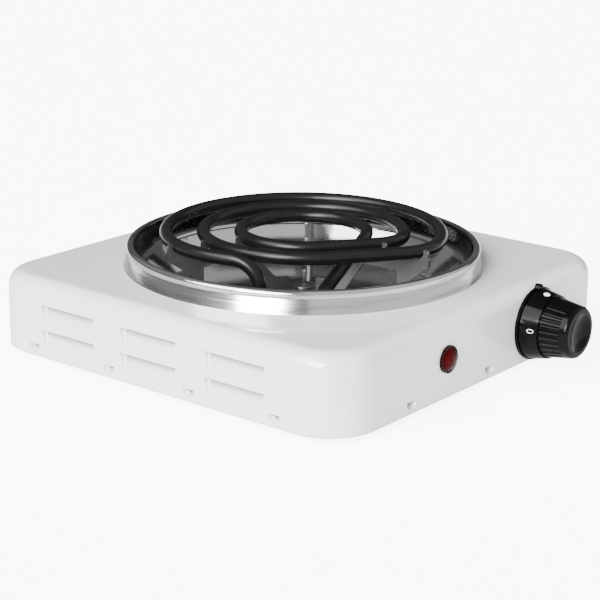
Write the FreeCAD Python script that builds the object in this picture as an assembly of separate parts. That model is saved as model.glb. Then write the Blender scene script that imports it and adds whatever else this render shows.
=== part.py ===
"""Single-coil electric hot plate: pressed body, chrome ring, reflector pan, tubular coil and thermostat.

Millimetres, +Z up. The front with the knob faces -Y. The origin is on the floor, under the middle of the
overall box. Pieces are modelled about the middle of the body and moved to the origin when they are saved.
"""

import FreeCAD
import Part
import math
import os

from FreeCAD import Vector

# Body shell
BODY_WIDTH = 225.0
BODY_DEPTH = 221.0
BODY_HEIGHT = 38.2
BODY_CORNER_RADIUS = 25.4
BODY_TOP_RADIUS = 8.0
SHEET = 0.8
FOOT_HEIGHT = 3.0

# Louvres on the left and right walls, pressed inwards with the open edge on top
LOUVRE_LENGTH = 35.4
LOUVRE_HEIGHT = 8.0
LOUVRE_DEPTH = 2.6
LOUVRE_PITCH = 52.6
LOUVRE_COLUMNS = 3
LOUVRE_MIDDLE_Y = 1.6
LOUVRE_TOPS = (14.3, 26.9)

# Small half-moon lances near the lower edge, which hold the base tray
LANCE_WIDTH = 7.0
LANCE_HEIGHT = 4.2
LANCE_DEPTH = 2.6
LANCE_TOP = 6.2
LANCE_SIDE_COUNT = 4
LANCE_SIDE_PITCH = 50.6
LANCE_SIDE_MIDDLE_Y = 1.8
LANCE_FRONT_COUNT = 3
LANCE_FRONT_PITCH = 63.3
LANCE_FRONT_MIDDLE_X = 4.0

# Base tray
TRAY_CLEARANCE = 0.3
TRAY_LIFT = 0.4
TRAY_FLANGE = 8.6
TRAY_WINDOW_MARGIN = 1.2
TRAY_SLOT_LENGTH = 36.0
TRAY_SLOT_WIDTH = 5.0
TRAY_SLOT_PITCH = 13.0
TRAY_SLOT_COUNT = 6
TRAY_SLOT_ROW_OFFSET = 46.0

# Rubber feet
FOOT_RADIUS = 8.5
FOOT_TAPER = 1.2
FOOT_STEM_RADIUS = 3.0
FOOT_BARB_RADIUS = 4.2
FOOT_BARB_HEIGHT = 3.0
FOOT_INSET = 30.0

# Chrome trim ring
RING_FLARE = 3.9
RING_BEAD_RADIUS = 2.3
RING_HEIGHT = 11.0
RING_BEAD_UNDERCUT = -45.0

# Reflector pan, sized from the coil outwards
PAN_FLOOR_MARGIN = 1.0
PAN_WALL_RUN = 10.4
PAN_FLANGE_WIDTH = 7.2
PAN_FLANGE_GAP = 2.2
PAN_DEPTH = 16.0
PAN_BEND_RADIUS = 4.0
PAN_OPENING_CLEARANCE = 3.0
PAN_WALL_HOLE_RADIUS = 1.3
PAN_WALL_HOLE_ANGLE = -9.0

# Tubular heating coil, laid out about its own axis with the terminals towards -Y, then turned by COIL_YAW
TUBE_RADIUS = 3.3
COIL_OUTER_RADIUS = 69.0
COIL_PITCH = 18.75
COIL_RINGS = 3
COIL_LIFT = 15.6
COIL_YAW = -51.3
JOG_END_ANGLE = -75.0
JOG_RADII = (25.0, 20.0)
LEG_INSET = 11.5
OUTER_LEG_X = -20.5
INNER_LEG_X = 7.0
LEG_BEND = 14.0
INNER_END_ANGLE = 12.0
INNER_END_RUN = 8.0
INNER_END_BEND = 18.0
INNER_END_DROP = 17.8
LEG_BELOW_PAN = 9.0
PIN_RADIUS = 1.4
PIN_LENGTH = 6.0

# Ceramic bushes around the coil legs
BUSH_RADIUS = 5.4
BUSH_FLANGE_RADIUS = 7.2
BUSH_FLANGE = 1.6
BUSH_BELOW_PAN = 3.0
FIT_CLEARANCE = 0.15

# Coil support: three upright arms on a hub
ARM_ANGLES = {"rear": 87.0, "right": -33.0, "left": -153.0}
ARM_THICKNESS = 1.4
ARM_STRIP_HEIGHT = 8.5
ARM_SEAT_DEPTH = 1.0
ARM_INNER_MARGIN = 5.1
ARM_OUTER_MARGIN = 6.6
ARM_CORNER = 1.0
ARM_FINGER_WIDTH = 2.6
ARM_FINGER_RISE = 1.6
ARM_LEG_INSET = 8.0
ARM_LEG_WIDTH = 7.0
ARM_TAIL_HEIGHT = 8.0
ARM_TAIL_START = 8.0
ARM_NECK_WIDTH = 9.0
HUB_RADIUS = 15.0
HUB_THICKNESS = 1.2
HUB_SCREW_RADIUS = 2.0
HUB_SCREW_HEAD_RADIUS = 4.0
HUB_SCREW_HEAD = 2.2
HUB_NUT_FLATS = 7.0
HUB_NUT_HEIGHT = 3.2

# Knob, bezel and thermostat, all on one axis through the front wall
KNOB_X = 43.3
KNOB_DROP = 0.7
KNOB_SKIRT_RADIUS = 17.6
KNOB_SKIRT_TOP_RADIUS = 15.8
KNOB_SKIRT_LENGTH = 8.6
KNOB_GRIP_RADIUS = 15.0
KNOB_END_RADIUS = 12.7
KNOB_LENGTH = 23.4
KNOB_GAP = 0.6
KNOB_WALL = 1.8
KNOB_HOLLOW = 6.5
KNOB_EDGE = 2.0
KNOB_DISH_RADIUS = 9.6
KNOB_DISH_DEPTH = 2.4
KNOB_GROOVE_RADIUS = 1.0
KNOB_GROOVE_STEP = 12.0
KNOB_SMOOTH_HALF_ANGLE = 30.0
KNOB_SHAFT_DEPTH = 14.0
BEZEL_RADIUS = 18.2
BEZEL_THICKNESS = 1.6
BEZEL_NUB_RADIUS = 1.9
BEZEL_NUB_LENGTH = 3.4
SPINDLE_RADIUS = 3.0
SPINDLE_CLEARANCE = 0.05
SPINDLE_FLAT = 1.0
SPINDLE_TAIL = 14.5
BUSHING_RADIUS = 5.0
BUSHING_LENGTH = 5.0
BRACKET_WIDTH = 34.0
BRACKET_BELOW = 9.0
BRACKET_TOP_GAP = 0.2
BRACKET_THICKNESS = 1.2
THERMOSTAT_SCREW_OFFSET = 11.0
THERMOSTAT_SCREW_RADIUS = 1.5
THERMOSTAT_SCREW_HEAD_RADIUS = 2.7
THERMOSTAT_SCREW_HEAD = 1.6
CIRCLIP_RADIUS = 4.8
CIRCLIP_THICKNESS = 0.8
CAM_BASE_RADIUS = 4.6
CAM_RISE = 1.5
CAM_TRAVEL = 270.0
CAM_POINT_STEP = 30.0
CAM_START = 8.0
CAM_THICKNESS = 3.0
CAM_GAP = 0.35
ARM_PIVOT_X = -10.0
ARM_PIVOT_Z = 7.4
ARM_PIVOT_PIN_RADIUS = 0.8
ARM_KNUCKLE_RADIUS = 1.7
CONTACT_ARM_THICKNESS = 0.8
CONTACT_ARM_END = -7.5
CONTACT_PAD_RADIUS = 1.2
CONTACT_RIVET_RADIUS = 1.4
FIXED_CONTACT_X = -15.0
BASE_BLOCK_LEFT = -18.0
BASE_BLOCK_RIGHT = 10.0
BASE_BLOCK_TOP = 13.8
BASE_BLOCK_BOTTOM = 9.4
BASE_BLOCK_DEPTH = 16.0
EAR_WIDTH = 2.0
TAB_WIDTH = 6.3
TAB_LENGTH = 9.0
TAB_THICKNESS = 0.8

# Indicator lamp
LAMP_X = -31.5
LAMP_RISE = 0.0
LAMP_FLANGE_RADIUS = 6.6
LAMP_FLANGE = 1.2
LAMP_DOME = 2.2
LAMP_BARREL_RADIUS = 5.0
LAMP_BARREL_LENGTH = 9.0
LAMP_WALL = 0.9
LAMP_CLIP_RADIUS = 7.6
LAMP_CLIP_THICKNESS = 1.0
LAMP_BODY_LENGTH = 12.0
LAMP_TAB_OFFSET = 2.4
NEON_RADIUS = 2.4

# Cord grommet in a notch of the rear wall
GROMMET_X = 34.0
GROMMET_Z = 18.0
GROMMET_BORE_RADIUS = 3.5
GROMMET_NECK_RADIUS = 5.6
GROMMET_FLANGE_RADIUS = 7.6
GROMMET_FLANGE = 2.4
GROMMET_NECK_CLEARANCE = 0.1

# Internal leads
LEAD_RADIUS = 1.1
LEAD_BEND = 6.0

EDGE = 0.3
TOLERANCE = 1e-6
BODY_BOTTOM = FOOT_HEIGHT
TOP = BODY_BOTTOM + BODY_HEIGHT
TRAY_FLOOR = BODY_BOTTOM + TRAY_LIFT + SHEET
KNOB_Z = BODY_HEIGHT / 2 - KNOB_DROP
LAMP_Z = BODY_HEIGHT / 2 + LAMP_RISE
BRACKET_ABOVE = BODY_HEIGHT - BODY_TOP_RADIUS - BRACKET_TOP_GAP - KNOB_Z
PAN_FLOOR = TOP - PAN_DEPTH
COIL_Z = TOP + COIL_LIFT
COIL_RADII = [COIL_OUTER_RADIUS - COIL_PITCH * i for i in range(COIL_RINGS)]
LEG_Y = LEG_INSET - COIL_OUTER_RADIUS
PAN_FLOOR_RADIUS = COIL_OUTER_RADIUS + PAN_FLOOR_MARGIN
PAN_MOUTH_RADIUS = PAN_FLOOR_RADIUS + PAN_WALL_RUN
PAN_FLANGE_RADIUS = PAN_MOUTH_RADIUS + PAN_FLANGE_WIDTH
RING_BASE_RADIUS = PAN_FLANGE_RADIUS + PAN_FLANGE_GAP + SHEET
RING_CREST_RADIUS = RING_BASE_RADIUS - RING_FLARE
ARM_INNER_RADIUS = COIL_RADII[-1] - ARM_INNER_MARGIN
ARM_LEG_OUTER = PAN_FLOOR_RADIUS - ARM_LEG_INSET
ARM_LEG_INNER = ARM_LEG_OUTER - ARM_LEG_WIDTH
FRONT = -BODY_DEPTH / 2
REAR = BODY_DEPTH / 2
KNOB_REACH = BEZEL_THICKNESS + KNOB_GAP + KNOB_LENGTH
TO_ORIGIN = Vector(0, (KNOB_REACH - GROMMET_FLANGE) / 2, 0)
Z_AXIS = Vector(0, 0, 1)
INWARD = Vector(0, 1, 0)


def save(name, shape):
    """Move a piece from the body's middle to the origin and write it."""
    placed = shape.copy()
    placed.translate(TO_ORIGIN)
    placed.exportStep(f"parts/{name}.step")


def polar(radius, degrees, z=0.0):
    angle = math.radians(degrees)
    return Vector(radius * math.cos(angle), radius * math.sin(angle), z)


def turned(shape):
    """A shape of the coil's own layout, turned to where the coil's terminals point on the body."""
    copy = shape.copy()
    copy.rotate(Vector(), Z_AXIS, COIL_YAW)
    return copy


def cylinder(radius, length, start, axis=Z_AXIS):
    return Part.makeCylinder(radius, length, start, axis)


def box(x0, x1, y0, y1, z0, z1):
    return Part.makeBox(x1 - x0, y1 - y0, z1 - z0, Vector(x0, y0, z0))


def fused(shapes):
    return shapes[0].multiFuse(shapes[1:]).removeSplitter() if len(shapes) > 1 else shapes[0]


def line(a, b):
    return Part.LineSegment(a, b).toShape()


def arc(a, middle, b):
    return Part.Arc(a, middle, b).toShape()


def in_quarters(shape):
    """The same solid with its round faces parted at the XZ and YZ planes, so that each is a quarter turn."""
    size = shape.BoundBox.DiagonalLength
    quarters = []
    for x in (-size, 0):
        for y in (-size, 0):
            quarters.append(shape.common(box(x, x + size, y, y + size, -size, size)))
    return quarters[0].multiFuse(quarters[1:])


def rounded_block(width, depth, z0, z1, radius):
    """An upright block with rounded vertical edges."""
    block = box(-width / 2, width / 2, -depth / 2, depth / 2, z0, z1)
    upright = [e for e in block.Edges if abs(e.Vertexes[0].Z - e.Vertexes[1].Z) > EDGE]
    return block.makeFillet(radius, upright)


def edges_at_height(shape, z):
    return [e for e in shape.Edges if all(abs(v.Z - z) < TOLERANCE for v in e.Vertexes)]


def spread(count, pitch, middle=0.0):
    return [middle + pitch * (i - (count - 1) / 2) for i in range(count)]


# Pressed louvres and lances, drawn on a wall whose outer face is y = 0 and whose inside is +y


def louvre_form(extra):
    """A wedge with half-cone ends, as deep as the louvre plus extra on every side of its slope."""
    depth = LOUVRE_DEPTH + extra
    height = LOUVRE_HEIGHT * depth / LOUVRE_DEPTH
    half = LOUVRE_LENGTH / 2 - LOUVRE_DEPTH
    section = [
        Vector(-half, 0, 0),
        Vector(-half, depth, 0),
        Vector(-half, 0, -height),
        Vector(-half, 0, 0),
    ]
    wedge = Part.Face(Part.makePolygon(section)).extrude(Vector(2 * half, 0, 0))
    ends = [Part.makeCone(0, depth, height, Vector(x, 0, -height), Z_AXIS) for x in (-half, half)]
    return wedge.multiFuse(ends)


def lance_form(extra):
    """A half-moon punch: the lower part of a ball whose straight edge is on top."""
    half = LANCE_WIDTH / 2
    below = LANCE_HEIGHT - half
    radius = (half * half + LANCE_DEPTH * LANCE_DEPTH) / (2 * LANCE_DEPTH)
    ball = Part.makeSphere(radius + extra, Vector(0, LANCE_DEPTH - radius, -below))
    return ball.cut(box(-BODY_WIDTH, BODY_WIDTH, -BODY_DEPTH, BODY_DEPTH, 0, BODY_HEIGHT))


def wall_pressings():
    """Voids and skins of every louvre and lance, in place on the four walls."""
    inside = box(-BODY_WIDTH, BODY_WIDTH, 0, BODY_DEPTH, -BODY_HEIGHT, BODY_HEIGHT)
    forms = {
        "louvre": (louvre_form(0.0), louvre_form(SHEET).common(inside)),
        "lance": (lance_form(0.0), lance_form(SHEET).common(inside)),
    }
    half_width, half_depth = BODY_WIDTH / 2, BODY_DEPTH / 2
    places = []
    for side, turn in ((-half_width, -90), (half_width, 90)):
        for y in spread(LOUVRE_COLUMNS, LOUVRE_PITCH, LOUVRE_MIDDLE_Y):
            places += [("louvre", side, y, z, turn) for z in LOUVRE_TOPS]
        for y in spread(LANCE_SIDE_COUNT, LANCE_SIDE_PITCH, LANCE_SIDE_MIDDLE_Y):
            places.append(("lance", side, y, LANCE_TOP, turn))
    for side, turn, middle in ((-half_depth, 0, LANCE_FRONT_MIDDLE_X), (half_depth, 180, 0.0)):
        for x in spread(LANCE_FRONT_COUNT, LANCE_FRONT_PITCH, middle):
            places.append(("lance", x, side, LANCE_TOP, turn))
    voids, skins = [], []
    for kind, x, y, z, turn in places:
        for form, pile in zip(forms[kind], (voids, skins)):
            placed = form.copy()
            placed.rotate(Vector(), Z_AXIS, turn)
            placed.translate(Vector(x, y, BODY_BOTTOM + z))
            pile.append(placed)
    return voids, skins


def body_shell():
    """The pressed housing: top and four walls in one sheet, open below."""
    outer = rounded_block(BODY_WIDTH, BODY_DEPTH, BODY_BOTTOM, TOP, BODY_CORNER_RADIUS)
    outer = outer.makeFillet(BODY_TOP_RADIUS, edges_at_height(outer, TOP))
    outer = outer.makeFillet(EDGE, edges_at_height(outer, BODY_BOTTOM))
    inner = rounded_block(
        BODY_WIDTH - 2 * SHEET,
        BODY_DEPTH - 2 * SHEET,
        0,
        TOP - SHEET,
        BODY_CORNER_RADIUS - SHEET,
    )
    inner = inner.makeFillet(BODY_TOP_RADIUS - SHEET, edges_at_height(inner, TOP - SHEET))
    shell = outer.cut(inner)
    voids, skins = wall_pressings()
    shell = shell.multiFuse(skins)
    opening = cylinder(
        PAN_MOUTH_RADIUS + SHEET + PAN_OPENING_CLEARANCE,
        BODY_TOP_RADIUS,
        Vector(0, 0, TOP - BODY_TOP_RADIUS / 2),
    )
    spindle_hole = cylinder(
        BUSHING_RADIUS + FIT_CLEARANCE, 2 * SHEET, knob_point(-SHEET), INWARD
    )
    screw_holes = [
        cylinder(THERMOSTAT_SCREW_RADIUS + FIT_CLEARANCE, 2 * SHEET, knob_point(-SHEET, x), INWARD)
        for x in (-THERMOSTAT_SCREW_OFFSET, THERMOSTAT_SCREW_OFFSET)
    ]
    lamp_hole = cylinder(LAMP_BARREL_RADIUS + FIT_CLEARANCE, 2 * SHEET, lamp_point(-SHEET), INWARD)
    return shell.cut(Part.makeCompound(voids)).cut(
        fused([opening, spindle_hole, lamp_hole, grommet_notch(), *screw_holes])
    )


def knob_point(inward, x=0.0, z=0.0):
    """A point by its distance inwards from the front wall's face and its offset from the knob's axis."""
    return Vector(KNOB_X + x, FRONT + inward, BODY_BOTTOM + KNOB_Z + z)


def lamp_point(inward, x=0.0, z=0.0):
    return Vector(LAMP_X + x, FRONT + inward, BODY_BOTTOM + LAMP_Z + z)


def grommet_point(inward, z=0.0):
    return Vector(GROMMET_X, REAR - inward, BODY_BOTTOM + GROMMET_Z + z)


def grommet_notch():
    """The round-topped notch in the rear wall that the cord grommet slides up into."""
    radius = GROMMET_NECK_RADIUS + GROMMET_NECK_CLEARANCE
    outside = grommet_point(-SHEET)
    top = cylinder(radius, 3 * SHEET, outside, -INWARD)
    slot = box(
        GROMMET_X - radius,
        GROMMET_X + radius,
        REAR - 2 * SHEET,
        REAR + SHEET,
        0,
        outside.z,
    )
    return top.fuse(slot)


def base_tray():
    """The bottom tray: a vented floor and an upturned flange with windows for lances and room for louvres."""
    outside = SHEET + TRAY_CLEARANCE
    bottom = BODY_BOTTOM + TRAY_LIFT
    rim = BODY_BOTTOM + TRAY_FLANGE
    radius = BODY_CORNER_RADIUS - outside
    tray = rounded_block(BODY_WIDTH - 2 * outside, BODY_DEPTH - 2 * outside, bottom, rim, radius)
    hollow = rounded_block(
        BODY_WIDTH - 2 * outside - 2 * SHEET,
        BODY_DEPTH - 2 * outside - 2 * SHEET,
        TRAY_FLOOR,
        rim + SHEET,
        radius - SHEET,
    )
    half = LANCE_WIDTH / 2 + TRAY_WINDOW_MARGIN
    window_top = BODY_BOTTOM + LANCE_TOP + FIT_CLEARANCE
    cuts = []
    for y in spread(LANCE_SIDE_COUNT, LANCE_SIDE_PITCH, LANCE_SIDE_MIDDLE_Y):
        for x in (-BODY_WIDTH / 2, BODY_WIDTH / 2):
            cuts.append(box(x - 4 * SHEET, x + 4 * SHEET, y - half, y + half, TRAY_FLOOR, window_top))
    for y, middle in ((FRONT, LANCE_FRONT_MIDDLE_X), (REAR, 0.0)):
        for x in spread(LANCE_FRONT_COUNT, LANCE_FRONT_PITCH, middle):
            cuts.append(box(x - half, x + half, y - 4 * SHEET, y + 4 * SHEET, TRAY_FLOOR, window_top))
    relief = LOUVRE_LENGTH / 2 + TRAY_WINDOW_MARGIN
    relief_bottom = BODY_BOTTOM + min(LOUVRE_TOPS) - LOUVRE_HEIGHT - TRAY_WINDOW_MARGIN
    for y in spread(LOUVRE_COLUMNS, LOUVRE_PITCH, LOUVRE_MIDDLE_Y):
        for x in (-BODY_WIDTH / 2, BODY_WIDTH / 2):
            near, far = x - 4 * SHEET, x + 4 * SHEET
            cuts.append(box(near, far, y - relief, y + relief, relief_bottom, rim + SHEET))
    for y in spread(TRAY_SLOT_COUNT, TRAY_SLOT_PITCH):
        for x in (-TRAY_SLOT_ROW_OFFSET, TRAY_SLOT_ROW_OFFSET):
            cuts.append(vent_slot(x, y, bottom))
    for x, y in foot_places().values():
        cuts.append(cylinder(FOOT_STEM_RADIUS, 4 * SHEET, Vector(x, y, bottom - SHEET)))
    return tray.cut(hollow).cut(Part.makeCompound(cuts))


def vent_slot(x, y, bottom):
    """One round-ended vent slot along X through the tray's floor."""
    half = (TRAY_SLOT_LENGTH - TRAY_SLOT_WIDTH) / 2
    radius = TRAY_SLOT_WIDTH / 2
    low = bottom - SHEET
    ends = [cylinder(radius, 4 * SHEET, Vector(x + s * half, y, low)) for s in (-1, 1)]
    return fused([box(x - half, x + half, y - radius, y + radius, low, low + 4 * SHEET), *ends])


def foot_places():
    x = BODY_WIDTH / 2 - FOOT_INSET
    y = BODY_DEPTH / 2 - FOOT_INSET
    return {
        "front_left": (-x, -y),
        "front_right": (x, -y),
        "rear_left": (-x, y),
        "rear_right": (x, y),
    }


def rubber_foot(x, y):
    """A push-in foot: a tapered pad, a stem through the tray and a barb above it."""
    top = BODY_BOTTOM + TRAY_LIFT
    outline = [
        Vector(0, 0, 0),
        Vector(FOOT_RADIUS - FOOT_TAPER, 0, 0),
        Vector(FOOT_RADIUS, 0, top),
        Vector(FOOT_STEM_RADIUS, 0, top),
        Vector(FOOT_STEM_RADIUS, 0, TRAY_FLOOR),
        Vector(FOOT_BARB_RADIUS, 0, TRAY_FLOOR),
        Vector(FOOT_STEM_RADIUS / 2, 0, TRAY_FLOOR + FOOT_BARB_HEIGHT),
        Vector(0, 0, TRAY_FLOOR + FOOT_BARB_HEIGHT),
        Vector(0, 0, 0),
    ]
    foot = Part.Face(Part.makePolygon(outline)).revolve(Vector(), Z_AXIS, 360)
    foot.translate(Vector(x, y, 0))
    return foot


def trim_ring():
    """The polished ring: a flared wall, a rolled bead and an inner wall down onto the pan's flange."""
    bead_height = TOP + RING_HEIGHT - RING_BEAD_RADIUS

    def on_bead(radius, degrees):
        angle = math.radians(degrees)
        out, up = radius * math.cos(angle), radius * math.sin(angle)
        return Vector(RING_CREST_RADIUS + out, 0, bead_height + up)

    def bead(radius, start, end):
        return arc(on_bead(radius, start), on_bead(radius, (start + end) / 2), on_bead(radius, end))

    hollow = RING_BEAD_RADIUS - SHEET
    base = Vector(RING_BASE_RADIUS, 0, TOP)
    base_inside = Vector(RING_BASE_RADIUS - SHEET, 0, TOP)
    seat = Vector(RING_CREST_RADIUS - RING_BEAD_RADIUS, 0, TOP + SHEET)
    seat_inside = Vector(RING_CREST_RADIUS - hollow, 0, TOP + SHEET)
    outline = Part.Wire(
        [
            line(base, on_bead(RING_BEAD_RADIUS, RING_BEAD_UNDERCUT)),
            bead(RING_BEAD_RADIUS, RING_BEAD_UNDERCUT, 180),
            line(on_bead(RING_BEAD_RADIUS, 180), seat),
            line(seat, seat_inside),
            line(seat_inside, on_bead(hollow, 180)),
            bead(hollow, 180, RING_BEAD_UNDERCUT),
            line(on_bead(hollow, RING_BEAD_UNDERCUT), base_inside),
            line(base_inside, base),
        ]
    )
    return in_quarters(Part.Face(outline).revolve(Vector(), Z_AXIS, 360))


def pan_surface(drop):
    """Points of the pan's upper face, or of a face that lies drop below it."""
    return {
        "flange": Vector(PAN_FLANGE_RADIUS, 0, TOP + SHEET - drop),
        "mouth": Vector(PAN_MOUTH_RADIUS + drop, 0, TOP + SHEET - drop),
        "floor_edge": Vector(PAN_FLOOR_RADIUS + drop, 0, PAN_FLOOR - drop),
        "middle": Vector(0, 0, PAN_FLOOR - drop),
    }


def circles_through(shape, point):
    """Circular edges about the Z axis that pass through a point of the XZ plane."""
    return [
        e
        for e in shape.Edges
        if e.Curve.TypeId == "Part::GeomCircle"
        and abs(e.Curve.Radius - point.x) < TOLERANCE
        and abs(e.Vertexes[0].Z - point.z) < TOLERANCE
    ]


def drip_pan():
    """The bright bowl under the coil, hung by its flange on the body's top."""
    top, under = pan_surface(0.0), pan_surface(SHEET)
    outline = Part.makePolygon(
        [
            top["middle"],
            top["floor_edge"],
            top["mouth"],
            top["flange"],
            under["flange"],
            under["mouth"],
            under["floor_edge"],
            under["middle"],
            top["middle"],
        ]
    )
    pan = Part.Face(outline).revolve(Vector(), Z_AXIS, 360)
    for face, inner in ((top, PAN_BEND_RADIUS), (under, PAN_BEND_RADIUS + SHEET)):
        pan = pan.makeFillet(inner, circles_through(pan, face["floor_edge"]))
    for face, inner in ((top, PAN_BEND_RADIUS + SHEET), (under, PAN_BEND_RADIUS)):
        pan = pan.makeFillet(inner, circles_through(pan, face["mouth"]))
    cuts = [cylinder(HUB_SCREW_RADIUS + FIT_CLEARANCE, 4 * SHEET, Vector(0, 0, PAN_FLOOR - 2 * SHEET))]
    for x in (OUTER_LEG_X, INNER_LEG_X):
        start = Vector(x, LEG_Y, PAN_FLOOR - 2 * SHEET)
        cuts.append(turned(cylinder(BUSH_RADIUS + FIT_CLEARANCE, 4 * SHEET, start)))
    wall_middle = (PAN_MOUTH_RADIUS + PAN_FLOOR_RADIUS) / 2
    reach = Vector(0, 0, PAN_DEPTH)
    hole = cylinder(
        PAN_WALL_HOLE_RADIUS,
        2 * PAN_DEPTH,
        polar(wall_middle, PAN_WALL_HOLE_ANGLE, PAN_FLOOR + PAN_DEPTH / 2) - reach,
    )
    cuts.append(turned(hole))
    return in_quarters(pan.cut(Part.makeCompound(cuts)))


# Tubular coil


def clockwise_arc(radius, start, end, z):
    """An arc about the coil's axis from one angle down to a smaller one, in pieces under a half turn."""
    count = math.ceil((start - end) / 150)
    step = (start - end) / count
    return [
        arc(
            polar(radius, start - i * step, z),
            polar(radius, start - (i + 0.5) * step, z),
            polar(radius, start - (i + 1) * step, z),
        )
        for i in range(count)
    ]


def heading_at(degrees):
    """The clockwise direction of travel at an angle of a circle about the coil's axis."""
    angle = math.radians(degrees)
    return Vector(math.sin(angle), -math.cos(angle), 0)


def rounded_corner(before, corner, after, radius):
    """Where a corner's rounding starts and ends, and its arc."""
    arrive = (corner - before).normalize()
    leave = (after - corner).normalize()
    turn = arrive.getAngle(leave)
    tangent = radius * math.tan(turn / 2)
    start = corner - arrive * tangent
    end = corner + leave * tangent
    towards = (leave - arrive).normalize()
    centre = corner + towards * (radius / math.cos(turn / 2))
    return start, end, arc(start, centre - towards * radius, end)


def jog(outer, inner, bend):
    """The step from one ring of the coil in to the next: a tight arc, then a straight run."""
    along = math.sqrt((outer - bend) ** 2 - (inner - bend) ** 2)
    normal = polar(1, JOG_END_ANGLE)
    back = -heading_at(JOG_END_ANGLE)
    centre = normal * (inner - bend) + back * along
    leave_angle = math.degrees(math.atan2(centre.y, centre.x))
    lift = Vector(0, 0, COIL_Z)
    start = polar(outer, leave_angle)
    end = centre + normal * bend
    middle = centre + ((start - centre) + (end - centre)).normalize() * bend
    straight_end = polar(inner, JOG_END_ANGLE)
    return leave_angle, [arc(start + lift, middle + lift, end + lift), line(end + lift, straight_end + lift)]


def coil_path():
    """The coil's centreline: outer leg, rings with a jog between them, and the inner end under the rings."""
    leg_end = PAN_FLOOR - SHEET - LEG_BELOW_PAN
    outer_leg = Vector(OUTER_LEG_X, LEG_Y, leg_end)
    outer_top = Vector(OUTER_LEG_X, LEG_Y, COIL_Z)
    leg_angle = math.degrees(math.atan2(LEG_Y, OUTER_LEG_X))
    heading = heading_at(leg_angle)
    beyond = outer_top + heading * LEG_BEND * 2
    bend_start, bend_end, bend = rounded_corner(outer_leg, outer_top, beyond, LEG_BEND)
    flat = Vector(bend_end.x, bend_end.y, 0)
    normal = Vector(heading.y, -heading.x, 0)
    outer = COIL_RADII[0]
    sweep = (outer**2 - flat.dot(flat)) / (2 * (flat.dot(normal) + outer))
    sweep_centre = flat + normal * sweep
    join_angle = math.degrees(math.atan2(sweep_centre.y, sweep_centre.x))
    join = polar(outer, join_angle)
    sweep_middle = sweep_centre + ((flat - sweep_centre) + (join - sweep_centre)).normalize() * sweep
    lift = Vector(0, 0, COIL_Z)
    edges = [line(outer_leg, bend_start), bend, arc(bend_end, sweep_middle + lift, join + lift)]
    start_angle = join_angle
    for outer, inner, radius in zip(COIL_RADII, COIL_RADII[1:], JOG_RADII):
        leave_angle, step = jog(outer, inner, radius)
        edges += clockwise_arc(outer, start_angle, leave_angle - 360, COIL_Z) + step
        start_angle = JOG_END_ANGLE
    innermost = COIL_RADII[-1]
    edges += clockwise_arc(innermost, start_angle, INNER_END_ANGLE - 360, COIL_Z)
    inner_end = polar(innermost, INNER_END_ANGLE, COIL_Z)
    knee = inner_end + heading_at(INNER_END_ANGLE) * INNER_END_RUN
    inner_top = Vector(INNER_LEG_X, LEG_Y, COIL_Z - INNER_END_DROP)
    inner_leg = Vector(INNER_LEG_X, LEG_Y, leg_end)
    knee_start, knee_end, knee_arc = rounded_corner(inner_end, knee, inner_top, INNER_END_BEND)
    drop_start, drop_end, drop_arc = rounded_corner(knee, inner_top, inner_leg, LEG_BEND)
    edges += [
        line(inner_end, knee_start),
        knee_arc,
        line(knee_end, drop_start),
        drop_arc,
        line(drop_end, inner_leg),
    ]
    return Part.Wire(edges)


def tube_along(path, radius):
    """A round solid swept along a path that starts straight up or down."""
    first = path.OrderedEdges[0]
    start = first.valueAt(first.FirstParameter)
    direction = first.tangentAt(first.FirstParameter)
    profile = Part.Wire(Part.makeCircle(radius, start, direction))
    return path.makePipeShell([profile], True, False)


def least_gap(path, apart):
    """Least gap between stretches of the tube that are further apart along it than apart."""
    step = 2.0
    points = path.discretize(Distance=step)
    skip = int(apart / step)
    return min(
        points[i].distanceToPoint(points[j]) - 2 * TUBE_RADIUS
        for i in range(len(points))
        for j in range(i + skip, len(points))
    )


def crossing_radii(path, degrees):
    """Radii at which the coil's level rings cross a half-plane at this angle."""
    points = [p for p in path.discretize(Distance=0.5)]
    found = []
    direction = polar(1, degrees)
    side = Vector(-direction.y, direction.x, 0)
    for a, b in zip(points, points[1:]):
        level = abs(a.z - COIL_Z) < EDGE
        if level and a.dot(direction) > 0 and a.dot(side) * b.dot(side) <= 0:
            found.append(math.hypot(a.x, a.y))
    return sorted(found)


def rounded_outline(points, radius):
    """A closed outline through these corners, each rounded to the same radius."""
    corners = [
        rounded_corner(before, corner, after, radius)
        for before, corner, after in zip(points[-1:] + points, points, points[1:] + points[:1])
    ]
    edges = []
    for (_, end, bend), (start, _, _) in zip(corners, corners[1:] + corners[:1]):
        edges += [bend, line(end, start)]
    return Part.Wire(edges)


def arm_finger(radius, foot):
    """The face of a round-topped finger that stands outside a ring of the coil."""
    left = radius + TUBE_RADIUS - ARM_SEAT_DEPTH
    right = radius + TUBE_RADIUS + ARM_FINGER_WIDTH
    top = COIL_Z + ARM_FINGER_RISE
    shoulder = top - (right - left) / 2
    side = -ARM_THICKNESS / 2
    left_foot, left_shoulder = Vector(left, side, foot), Vector(left, side, shoulder)
    right_foot, right_shoulder = Vector(right, side, foot), Vector(right, side, shoulder)
    crown = arc(left_shoulder, Vector((left + right) / 2, side, top), right_shoulder)
    sides = [line(right_shoulder, right_foot), line(right_foot, left_foot), line(left_foot, left_shoulder)]
    return Part.Face(Part.Wire([crown, *sides]))


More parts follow.
